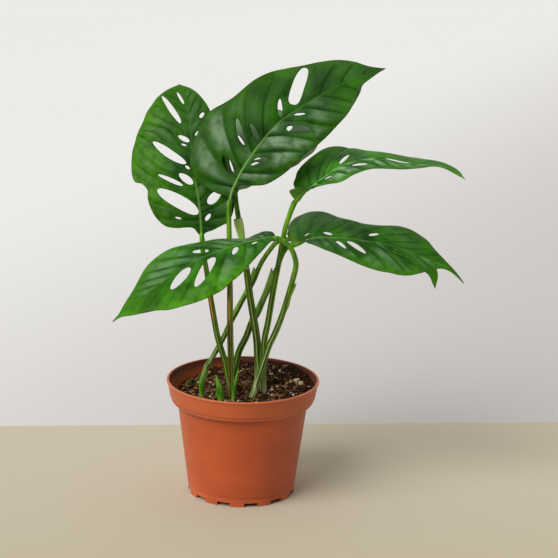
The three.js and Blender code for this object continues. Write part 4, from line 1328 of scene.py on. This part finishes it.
def potMaterial():
    colours = potColours
    bands = potBands
    finish = Finish("pot plastic")
    place = finish.place()
    _, _, height = finish.split(place)
    centred = finish.vector("ADD", place, (spreadMiddle[0] / 1000, 0, 0))
    radius = finish.vector("LENGTH", finish.vector("MULTIPLY", centred, (1, 1, 0)), output="Value")
    cloud = finish.noise(place, 22, 4)
    fine = finish.noise(place, 420, 3)
    drawn = finish.noise(finish.stretched(place, (14, 14, 520)), 1, 3)
    colour = finish.mix(cloud.ramp(0.3, 0.7), colours["deep"], colours["plastic"])
    colour = finish.mix(0.55, colour, colours["plastic"])
    colour = finish.mix(drawn.ramp(0.45, 0.75, 0, 0.16), colour, colours["wearAndHighlight"])

    # Paler on the collar, a painted highlight on its lip, painted shade in its groove and paler wear at the
    # foot
    colour = finish.mix(height.ramp(*bands["collar"], 0, 0.3), colour, colours["wearAndHighlight"])
    # A thin dark line of painted shade in the collar's groove
    creaseShade = abs(height - bands["creaseShade"]).ramp(*bands["creaseHalf"], 0.6, 0)
    colour = finish.mix(creaseShade, colour, colours["deep"])
    # Painted highlight along the lip
    lip = height.ramp(*bands["lip"], 0, 0.6) * fine.ramp(0.35, 0.65, 0.4, 1)
    colour = finish.mix(lip, colour, colours["wearAndHighlight"])
    foot = height.ramp(*bands["foot"], 0.5, 0) * cloud.ramp(0.35, 0.6)
    colour = finish.mix(foot, colour, colours["wearAndHighlight"])

    # Painted shade darkens the inner wall above the mix, and dust and crumbs smear it
    body, collar = (
        (height - start) * growth + size for size, growth, start in (bands["bodyWall"], bands["collarWall"])
    )
    limit = body + height.math("GREATER_THAN", bands["collarFrom"]) * (collar - body)
    inside = (radius - limit).ramp(-0.0006, 0.0, 1, 0) * height.ramp(*bands["soil"])
    smear = inside * finish.noise(place, 130, 4).ramp(0.42, 0.66, 0.12, 0.8)
    # Painted shade over the inner wall
    colour = finish.mix(inside * 0.85, colour, colours["inner"])
    colour = finish.mix(smear, colour, colours["soiled"])
    rough = fine.ramp(0.3, 0.7, colours["gloss"] - 0.04, colours["gloss"] + 0.1) + smear * 0.3
    normal = finish.bump(drawn, 0.12, 0.0004, finish.bump(fine, 0.1, 0.0003))
    return finish.done(colour, rough, normal)


lengths = {
    key: pot[key] / 1000 for key in ("notchWidth", "notchHeight", "drainRadius", "drainRing")
}
mesh = growFrom(
    outward(potMesh()), potTree(), notches=pot["notches"], drainHoles=pot["drainHoles"],
    firstNotch=math.radians(pot["firstNotch"] - 90), notchRing=pot["footRadius"] / 1000,
    axisX=-spreadMiddle[0] / 1000, deep=pot["cutDepth"] / 1000, finish=potMaterial(), **lengths,
)
mesh.shade_smooth()
mesh.set_sharp_from_angle(angle=math.radians(pot["sharpFrom"]))
addPiece("nursery_pot", mesh, None, ["pot"])
print("pot made")


# The mix: an uneven surface and a skirt down inside the pot's wall
soil = {
    "middle": 99.5, "rise": 9, "bowl": 3, "slopeX": 0.6, "slopeY": 1, "reach": 75, "bump": 0.9,
    "grain": 1.15, "roughness": ((9, 1.3), (4, 0.9), (1.9, 0.5)),   # lump size and height
    "widest": 73, "pressed": 0.25,                  # how far the rim presses into the wall
    "skirt": (93.8, 92.6, 9.2, 8.2), "clear": 0.35, # the skirt's heights and gap to the wall
}
soilColours = {
    "mix": {"dark": (18, 9, 5), "brown": (66, 36, 19), "tan": (150, 102, 62), "size": 3.2},
    "crumbs": {"dark": (10, 5, 3), "brown": (74, 40, 20), "tan": (178, 128, 78), "size": 1.6},
}


def soilHeight(x, y):
    uphill = (soil["slopeX"] * x + soil["slopeY"] * y) / soil["reach"]
    bumps = np.sin(x / 6) * np.cos(y / 8) + 0.6 * np.sin(y / 5 + x / 11)
    return soil["middle"] + soil["rise"] * uphill + soil["bowl"] * uphill**2 + soil["bump"] * bumps


def roughSoil(x, y):
    height = soilHeight(x, y)
    for k, (size, lift) in enumerate(soil["roughness"]):
        grain = [noise.noise(Vector((a / size + 7 * k, b / size, 3.1 * k))) for a, b in zip(x, y)]
        height = height + lift * np.array(grain)
    return height


def circleAt(radius, turn):
    return np.stack([radius * np.cos(turn), radius * np.sin(turn)], -1)


def soilMesh():
    turn = np.linspace(0, 2 * math.pi, 360, endpoint=False)
    radius = np.full(len(turn), 70.5)
    for _ in range(3):
        radius = innerWall(soilHeight(*circleAt(radius, turn).T)) + soil["pressed"]

    # How far a flat point lies inside the rim
    def fromRim(points):
        angle = np.arctan2(points[:, 1], points[:, 0]) % (2 * math.pi)
        return np.interp(angle, turn, radius) - np.hypot(*points.T)

    wide = soil["widest"]
    inner = gridOver((-wide, -wide), (wide, wide), soil["grain"])
    flat, faces = flatPatch([circleAt(radius, turn)], inner[fromRim(inner) > 0.5])
    points = [np.stack([*flat.T, roughSoil(*flat.T)], -1)]
    faces = faces.tolist()

    # Down the inside of the wall and across the floor
    order = np.argsort(np.arctan2(flat[:, 1], flat[:, 0]) % (2 * math.pi))
    ring = order[fromRim(flat[order]) < 0.01]
    angle = np.arctan2(flat[ring, 1], flat[ring, 0])
    count = len(ring)
    start = len(flat)
    for z in soil["skirt"]:
        points.append(np.column_stack([circleAt(innerWall(z) - soil["clear"], angle), np.full(count, z)]))
        lower = np.arange(start, start + count)
        faces += np.stack([ring, lower, np.roll(lower, -1), np.roll(ring, -1)], -1).tolist()
        ring = lower
        start += count
    points.append([(0, 0, soil["skirt"][-1])])
    faces += np.stack([ring, np.full(count, start), np.roll(ring, -1)], -1).tolist()
    return outward(newMesh("soil", np.vstack(points), faces))


def soilMaterial(name, kind):
    colours = soilColours[kind]
    size = colours["size"]
    finish = Finish(name)
    place = finish.place()
    lumps = finish.noise(place, 1000 / size, 4, 0.65)
    fine = finish.noise(place, 2400 / size, 4, 0.7)
    threads = finish.cells(place, 900 / size, feature="DISTANCE_TO_EDGE")
    colour = finish.mix(lumps.ramp(0.36, 0.66), colours["dark"], colours["brown"])
    light = threads.ramp(0, 0.09, 1, 0) * fine.ramp(0.5, 0.68) * 0.8
    colour = finish.mix(light, colour, colours["tan"])
    pick = finish.attribute("pick")
    colour = finish.mix(pick.ramp(0.6, 0.9, 0, 0.6), colour, colours["brown"])
    colour = finish.mix(pick.ramp(0.93, 0.99, 0, 0.85), colour, colours["tan"])
    normal = finish.bump(lumps, 0.5, 0.001, finish.bump(fine, 0.7, 0.0008))
    return finish.done(colour, fine.ramp(0.3, 0.7, 0.75, 0.98), normal, 0.12)


soilPiece = addPiece("potting_mix", soilMesh(), soilMaterial("potting mix", "mix"), ["soil"])
print("mix made")


# Young shoots, still rolled, and a withered strand
shoots = {
    "paths": [
        [[-41, -4, 86], [-41, -4, 99], [-41, -4, 114], [-38.5, -3, 126]],
        [[-21, -12, 82], [-21, -12, 96], [-23, -12, 110], [-27, -11, 123]],
        [[-9, -15, 84], [-9, -15, 98], [-7.6, -15, 114], [-4.2, -14, 131.5]],
        [[-26, -8, 88], [-26, -8, 98], [-26, -8, 104]],
    ],
    "radii": [[1.4, 2.1, 2.8, 0.5], [2, 3.7, 3.4, 0.4], [1.8, 2, 1.7, 0.3], [1.2, 1.3, 0.4]],
    "colours": {"green": (108, 180, 26), "light": (156, 206, 84), "deep": (58, 118, 18)},
    "spacing": 0.9, "point": 0.1,       # point is the share of the length that closes at the tip
}
strand = {
    "path": [[-49, 33, 90], [-49, 33, 101], [-45, 32, 107], [-42, 30, 112]],
    "radii": [1, 1, 0.9, 0.5], "spacing": 0.8, "wave": 0.3,
    "pale": (166, 164, 78), "dark": (110, 100, 40),
}


def shootMaterial():
    colours = shoots["colours"]
    finish = Finish("young shoot")
    along, angle = finish.onStem()
    streaks = finish.noise(finish.stretched(finish.place(), (420, 420, 60)), 1, 3)

    # The rolled edge winds once round the shoot
    roll = (angle / (2 * math.pi) + along).math("FRACT")
    seam = abs(roll - 0.5).ramp(0.02, 0.09, 1, 0)
    colour = finish.mix(streaks.ramp(0.35, 0.7), colours["deep"], colours["green"])
    colour = finish.mix(along.ramp(0.55, 1.0, 0, 0.55), colour, colours["light"])
    colour = finish.mix(seam * 0.7, colour, colours["deep"])
    colour = finish.mix(along.ramp(0.3, 0.5, 0.35, 0), colour, colours["light"])
    normal = finish.bump(streaks - seam * 1.5, 0.4, 0.0006)
    return finish.done(colour, streaks.ramp(0.3, 0.7, 0.36, 0.5), normal)


# Dry, fibrous stuff, with streaks of about the given size in millimetres
def dryMaterial(name, pale, dark, size):
    finish = Finish(name)
    place = finish.place()
    streaks = finish.noise(finish.stretched(place, (1, 1, 0.3)), 1000 / size, 4, 0.65)
    blotch = finish.noise(place, 250 / size, 3)
    colour = finish.mix(streaks.ramp(0.35, 0.68), dark, pale)
    colour = finish.mix(blotch.ramp(0.5, 0.7, 0, 0.5), colour, dark)
    return finish.done(colour, streaks.ramp(0.3, 0.7, 0.6, 0.9), finish.bump(streaks, 0.6, 0.0006))


shootFinish = shootMaterial()
for k, (knots, sizes) in enumerate(zip(shoots["paths"], shoots["radii"])):
    path = evenly(smoothPath(knots, 16), shoots["spacing"])
    share = np.linspace(0, 1, len(path))
    radii = np.interp(share, np.linspace(0, 1, len(sizes)), sizes)
    radii = radii * np.sqrt(np.clip((1.02 - share) / shoots["point"], 0, 1))
    mesh = stemMesh(f"shoot {k + 1}", path, radii, (0.3, -1, 0), shootFinish, 20, 0.14, 0.5)
    addPiece(f"young_shoot_{k + 1}", mesh, None, [f"shoot_{k + 1}"])
path = evenly(smoothPath(strand["path"], 16), strand["spacing"])
path[:, 0] += strand["wave"] * np.sin(path[:, 2] * 0.9)
radii = np.interp(np.linspace(0, 1, len(path)), (0, 0.3, 0.7, 1), strand["radii"])
strandFinish = dryMaterial("withered strand", strand["pale"], strand["dark"], 1.5)
mesh = stemMesh("strand", path, radii, (0.4, -1, 0), strandFinish, 12, 0.45, 0.8)
addPiece("withered_strand", mesh, None, ["strand"])

# The shrivelled remains of an old leaf lie on the mix at the left
oldLeaf = {
    "rib": [[-58, 21, 101], [-52, 23, 102], [-46, 24, 101]],
    "faces": [[0, -0.6, 0.8], [0, -0.6, 0.8], [0, -0.6, 0.8]],
    "fold": [[15, 15, 15], [15, 15, 15]],
    "curl": [[500, 500, 500], [500, 500, 500]],
    "margin": [[[3, 4], [8, 5]], [[3, 4], [8, 4.5]]],
    "holes": [[], []],
}
oldColours = {"brown": (150, 108, 62), "dark": (40, 34, 18), "green": (58, 84, 26)}
oldCreases = {"size": 3, "lift": 1.1, "seed": 3, "fine": 0.4}    # fine is the mesh's, beside a blade's


def oldLeafMaterial():
    colours = oldColours
    finish = Finish("old leaf")
    place = finish.place()
    colour = finish.mix(finish.noise(place, 260, 4).ramp(0.4, 0.62), colours["green"], colours["dark"])
    colour = finish.mix(finish.attribute("rim").ramp(0.3, 1.1, 0.9, 0), colour, colours["brown"])
    return finish.done(colour, 0.8, finish.bump(finish.noise(place, 900, 3), 0.7, 0.0006), 0.1)


def crumpled(mesh, size, lift, seed):
    points = meshPoints(mesh)
    for k, p in enumerate(points):
        spot = Vector(p * 1000 / size)
        bent = [noise.noise(spot + Vector((seed, 10 * axis, 0))) for axis in range(3)]
        points[k] += lift / 1000 * np.array(bent)
    mesh.vertices.foreach_set("co", points.ravel())
    mesh.update()
    return mesh


mesh = bladeMesh(Blade("old", oldLeaf), oldCreases["fine"])
mesh = crumpled(mesh, oldCreases["size"], oldCreases["lift"], oldCreases["seed"])
addPiece("old_leaf_remains", mesh, oldLeafMaterial(), ["old_leaf"])
print("shoots and old leaf made")

# Loose things on the mix: where each lies, its half sizes along X, Y and Z, and its turn
loose = {
    "perlite": [
        ([54, 22], [3.4, 2.8, 2.4], 20), ([58, 14], [2.6, 2.4, 2.2], 70), ([29, 8], [2, 1.8, 1.6], 10),
        ([44, 9], [1.9, 1.7, 1.5], 50), ([28, 42], [2, 1.6, 1.5], 30), ([37, 46], [1.8, 1.7, 1.4], 80),
        ([33, 28], [1.7, 1.6, 1.3], 0), ([-33, 30], [1.9, 1.7, 1.5], 40), ([-18, 40], [1.8, 1.6, 1.4], 15),
    ],
    "bark": [
        ([33, -8], [4.5, 2.6, 1.8], 25), ([45, 0], [3.4, 2.2, 1.6], -30), ([-34, 22], [3.6, 2.4, 1.6], 60),
        ([-24, 50], [3.8, 2.4, 1.6], -20), ([42, 52], [4, 2.4, 1.6], 35),
    ],
    "tuft": ([4, 22], [6, 5, 4]),
    "sunk": 0.3,        # the share of its half height by which a lump's middle clears the mix
    "perliteRough": 0.42, "barkRough": 0.3,
}
looseColours = {
    "perlite": {"pale": (242, 232, 204), "dark": (200, 176, 132)},
    "bark": {"pale": (172, 118, 72), "dark": (78, 42, 24), "size": 2.4},
    "fibre": {"pale": (204, 160, 104), "dark": (108, 70, 38), "size": 3},
}


def restingPlace(at, half):
    return np.array([*at, float(soilHeight(*at)) + loose["sunk"] * half[2]])


# A lump on the mix; a split one has flat faces with steps along the grain, as bark does
def lumpMesh(name, at, half, turn, rough, seed, split=False):
    lump = bpy.data.meshes.new(name)
    shell = bmesh.new()
    bmesh.ops.create_icosphere(shell, subdivisions=4, radius=1)
    middle = Vector(restingPlace(at, half))
    spin = Matrix.Rotation(math.radians(turn), 3, "Z")
    for point in shell.verts:
        p = point.co.copy()
        if split:
            p.y = math.copysign(min(abs(p.y), 0.8), p.y)
            p.z = math.copysign(min(abs(p.z), 0.62 + 0.1 * math.sin(9 * p.y)), p.z)
        grow = 1 + rough * noise.noise(p * 1.7 + Vector((seed, 0, 0)))
        grow += 0.45 * rough * noise.noise(p * 5.0 + Vector((0, seed, 0)))
        p = Vector((p.x * half[0], p.y * half[1], p.z * half[2])) * grow
        point.co = Vector(inFrame(spin @ p + middle))
    shell.to_mesh(lump)
    shell.free()
    lump.shade_smooth()
    return lump


def perliteMaterial(pale, dark):
    finish = Finish("perlite")
    place = finish.place()
    pits = finish.cells(place, 1500)
    colour = finish.mix(finish.noise(place, 380, 3).ramp(0.35, 0.65), dark, pale)
    colour = finish.mix(pits.ramp(0.3, 0.7, 0, 0.5), colour, dark)
    return finish.done(colour, 0.85, finish.bump(pits, 0.6, 0.0005))


perliteFinish = perliteMaterial(**looseColours["perlite"])
barkFinish = dryMaterial("bark", **looseColours["bark"])
for k, (at, half, turn) in enumerate(loose["perlite"]):
    mesh = lumpMesh(f"perlite {k + 1}", at, half, turn, loose["perliteRough"], 5.3 * k)
    addPiece(f"perlite_grain_{k + 1}", mesh, perliteFinish, [f"perlite_{k + 1}"])
for k, (at, half, turn) in enumerate(loose["bark"]):
    mesh = lumpMesh(f"bark {k + 1}", at, half, turn, loose["barkRough"], 2.7 * k, split=True)
    addPiece(f"bark_flake_{k + 1}", mesh, barkFinish, [f"bark_chip_{k + 1}"])

# Geometry Nodes strew crumbs, small perlite and flakes over the mix, each with its own shape.
# density is how many lie on a square metre, low and high their least and greatest size in metres.
strewn = {
    "crumbs": {"density": 170000, "low": 0.0007, "high": 0.0023, "flat": 0.75, "rough": 0.5, "seed": 4},
    "grains": {"density": 6400, "low": 0.0009, "high": 0.0019, "flat": 0.85, "rough": 0.35, "seed": 11},
    "flakes": {"density": 3200, "low": 0.0016, "high": 0.0036, "flat": 0.32, "rough": 0.4, "seed": 23},
}


def strewTree():
    shape = ShapeTree("strewn lumps", density="number", low="number", high="number", flat="number",
                      rough="number", seed="count")
    given = shape.given

    # A random number for each point, or a random vector where low is one
    def random(low, high, seed):
        if isinstance(low, tuple):
            inputs = {0: low, 1: high, "Seed": seed}
            return shape.add("FunctionNodeRandomValue", inputs, 0, data_type="FLOAT_VECTOR")
        return shape.add("FunctionNodeRandomValue", {2: low, 3: high, "Seed": seed}, 1, data_type="FLOAT")

    _, _, upward = shape.split(shape.add("GeometryNodeInputNormal"))
    facingUp = shape.add("FunctionNodeCompare", {0: upward, 1: 0.3}, operation="GREATER_THAN")
    inputs = {"Mesh": given["Geometry"], "Selection": facingUp, "Density": given["density"],
              "Seed": given["seed"]}
    points = shape.add("GeometryNodeDistributePointsOnFaces", inputs, "Points", distribute_method="RANDOM")
    size = random(given["low"], given["high"], given["seed"])
    skew = random((0.7, 0.7, 0.7), (1.4, 1.2, 1.0), 7)
    scale = shape.vector("MULTIPLY", skew, shape.join(X=1.0, Y=1.0, Z=given["flat"]))
    scale = shape.vector("SCALE", scale, scale=size)
    spin = random((-0.5, -0.5, 0.0), (0.5, 0.5, 6.28), 3)
    ball = shape.add("GeometryNodeMeshIcoSphere", {"Radius": 1.0, "Subdivisions": 2})
    lumps = shape.copies(points, ball, spin, Scale=scale)
    lumps = shape.keep(lumps, "size", size, domain="INSTANCE")
    lumps = shape.keep(lumps, "pick", random(0.0, 1.0, 17), domain="INSTANCE")

    # Each lump is bent out of round by noise taken where it lies
    grain = shape.add("ShaderNodeTexNoise", {"Scale": 520.0, "Detail": 2.0}, "Color")
    off = shape.vector("SUBTRACT", grain, (0.5, 0.5, 0.5))
    off = shape.vector("SCALE", off, scale=shape.named("size") * given["rough"] * 4)
    moved = shape.add("GeometryNodeSetPosition", {"Geometry": shape.realized(lumps), "Offset": off})
    return shape.close(shape.add("GeometryNodeSetShadeSmooth", {"Geometry": moved}))


strewing = strewTree()


# The part of the mix's mesh that things are strewn on: its top, well inside the pot
def strewingBed(clear):
    source = soilPiece.data
    points = meshPoints(source) * 1000 + spreadMiddle
    fits = (np.hypot(points[:, 0], points[:, 1]) < innerWall(points[:, 2]) - clear) & (points[:, 2] > 85)
    faces = [tuple(p.vertices) for p in source.polygons if all(fits[v] for v in p.vertices)]
    return newMesh("bed", points, faces)


for key, finish, slot, clear in (
    ("crumbs", soilMaterial("crumbs", "crumbs"), "potting_mix", 2.4),
    ("grains", perliteFinish, "perlite", 4), ("flakes", barkFinish, "bark", 6),
):
    mesh = growFrom(strewingBed(clear), strewing, finish=finish, **strewn[key])
    addPiece("mix_" + key, mesh, None)
    print("strewn", key, len(mesh.polygons))

# Root fibres: short bent threads over the mix, and one ball of them
fibres = {
    "count": 300, "reach": 62, "limit": 66, "length": (4, 15), "radius": (0.14, 0.36), "seed": 8,
    "tuftCount": 60, "tuftRadius": (0.2, 0.36), "tuftSeed": 5,
}


def threadMesh(name, lines, radii, finish):
    edges, sizes, facing = [], [], []
    start = 0
    for line, radius in zip(lines, radii):
        count = len(line)
        edges += [(start + k, start + k + 1) for k in range(count - 1)]
        start += count
        bulge = np.sin(np.linspace(0.1, math.pi - 0.1, count)) * 2
        sizes.append(radius * np.sqrt(np.clip(bulge, 0.1, 1)))
        facing.append(unit(np.cross(unit(np.gradient(line, axis=0)), (0.31, 0.2, 0.93))))
    return sweptLines(name, np.vstack(lines), edges, np.concatenate(sizes), np.vstack(facing),
                      sides=5, channelDepth=0.0, channelWidth=1.0, finish=finish)


def strewnThreads():
    random = np.random.default_rng(fibres["seed"])
    lines, radii = [], []
    for _ in range(fibres["count"]):
        where = random.uniform(0, 2 * math.pi)
        away = fibres["reach"] * math.sqrt(random.uniform(0, 1))
        x, y = away * math.cos(where), away * math.sin(where)
        heading = random.uniform(0, 2 * math.pi)
        bend = random.normal(0, 0.16)
        step = random.uniform(*fibres["length"]) / 10
        arch = random.uniform(0.2, 2.2)
        line = []
        for k in range(11):
            x, y = x + step * math.cos(heading), y + step * math.sin(heading)
            heading += bend
            if math.hypot(x, y) > fibres["limit"]:
                break
            z = float(soilHeight(x, y)) + 0.7 + arch * math.sin(math.pi * k / 10)
            line.append((x, y, z))
        if len(line) > 4:
            lines.append(np.array(line))
            radii.append(random.uniform(*fibres["radius"]))
    return lines, radii


# Threads wound round an oval lump
def tuftThreads():
    at, half = loose["tuft"]
    middle = restingPlace(at, half)
    random = np.random.default_rng(fibres["tuftSeed"])
    lines, radii = [], []
    for _ in range(fibres["tuftCount"]):
        first = unit(random.normal(size=3))
        second = unit(np.cross(first, random.normal(size=3)))
        turn = np.linspace(0, random.uniform(1.6, 4.2), 18)[:, None] + random.uniform(0, 6)
        shell = random.uniform(0.55, 1.0)
        wobble = 1 + 0.08 * np.sin(5 * turn + random.uniform(0, 6))
        ball = (np.cos(turn) * first + np.sin(turn) * second) * shell * wobble
        lines.append(middle + ball * half)
        radii.append(random.uniform(*fibres["tuftRadius"]))
    return lines, radii


fibreFinish = dryMaterial("root fibre", **looseColours["fibre"])
addPiece("root_threads", threadMesh("threads", *strewnThreads(), fibreFinish), None)
mesh = threadMesh("tuft", *tuftThreads(), fibreFinish)
addPiece("fibre_ball", mesh, None, ["fibre_tuft"])
print("loose pieces made")


# Studio: one wide floor, sand-coloured in front and pale behind, both with painted shade, a soft
# lamp and a pale sky.
# line is how far behind the pot the floor's two colours meet, slope how that line slants and soft
# half the width of their blend, in millimetres; half is half the floor's width, in metres.
studio = {
    "front": (198, 188, 166), "shade": (184, 171, 141), "near": (200, 195, 191), "far": (232, 231, 228),
    "line": 198, "slope": 0.086, "soft": 1.5, "half": 7,
    "sky": {"bright": (0.66, 0.66, 0.66), "dim": (0.14, 0.14, 0.14), "brightSide": (-0.25, 0.75, 0.6)},
    "lamp": {"from": (-0.67, -0.67, 0.85), "spread": 44, "strength": 2.5},
}


def floorMaterial():
    finish = Finish("floor")
    place = finish.place()
    x, y, _ = finish.split(place)
    y = y - x * studio["slope"]
    line, soft = studio["line"] / 1000, studio["soft"] / 1000
    # In front, painted shade darkens the sand colour towards the camera
    front = finish.mix(y.ramp(-0.6, 0.1, 1, 0), studio["front"], studio["shade"])
    # Behind, painted shade: darker near the line and to the right, paler far back
    back = finish.mix((y - x * 2.0).ramp(-0.2, 2.2), studio["near"], studio["far"])
    colour = finish.mix(y.ramp(line - soft, line + soft), front, back)
    return finish.done(colour, finish.noise(place, 2.2, 2).ramp(0.3, 0.7, 0.75, 0.85), shine=0.1)


def makeFloor():
    half = studio["half"]
    corners = [(-half, -half, 0), (half, -half, 0), (half, half, 0), (-half, half, 0)]
    mesh = bpy.data.meshes.new("floor")
    mesh.from_pydata(corners, [], [(0, 1, 2, 3)])
    mesh.materials.append(floorMaterial())
    addObject("floor", mesh)


def makeSky():
    sky = studio["sky"]
    world = bpy.data.worlds.new("sky")
    world.use_nodes = True
    graph = Graph(world.node_tree)
    facing = graph.add("ShaderNodeTexCoord", output="Generated")
    towards = graph.vector("DOT_PRODUCT", facing, sky["brightSide"], output="Value")
    inputs = {0: towards.ramp(-0.5, 0.7), 6: (*sky["dim"], 1), 7: (*sky["bright"], 1)}
    colour = graph.add("ShaderNodeMix", inputs, 2, data_type="RGBA")
    graph.put(colour, world.node_tree.nodes["Background"].inputs["Color"])
    bpy.context.scene.world = world


def makeLamp():
    lamp = bpy.data.lights.new("lamp", "SUN")
    lamp.angle = math.radians(studio["lamp"]["spread"])
    lamp.energy = studio["lamp"]["strength"]
    light = addObject("lamp", lamp)
    light.matrix_world = Vector(studio["lamp"]["from"]).to_track_quat("Z", "Y").to_matrix().to_4x4()


makeFloor()
makeSky()
makeLamp()
bpy.context.scene.view_settings.view_transform = "Standard"
print("studio made")
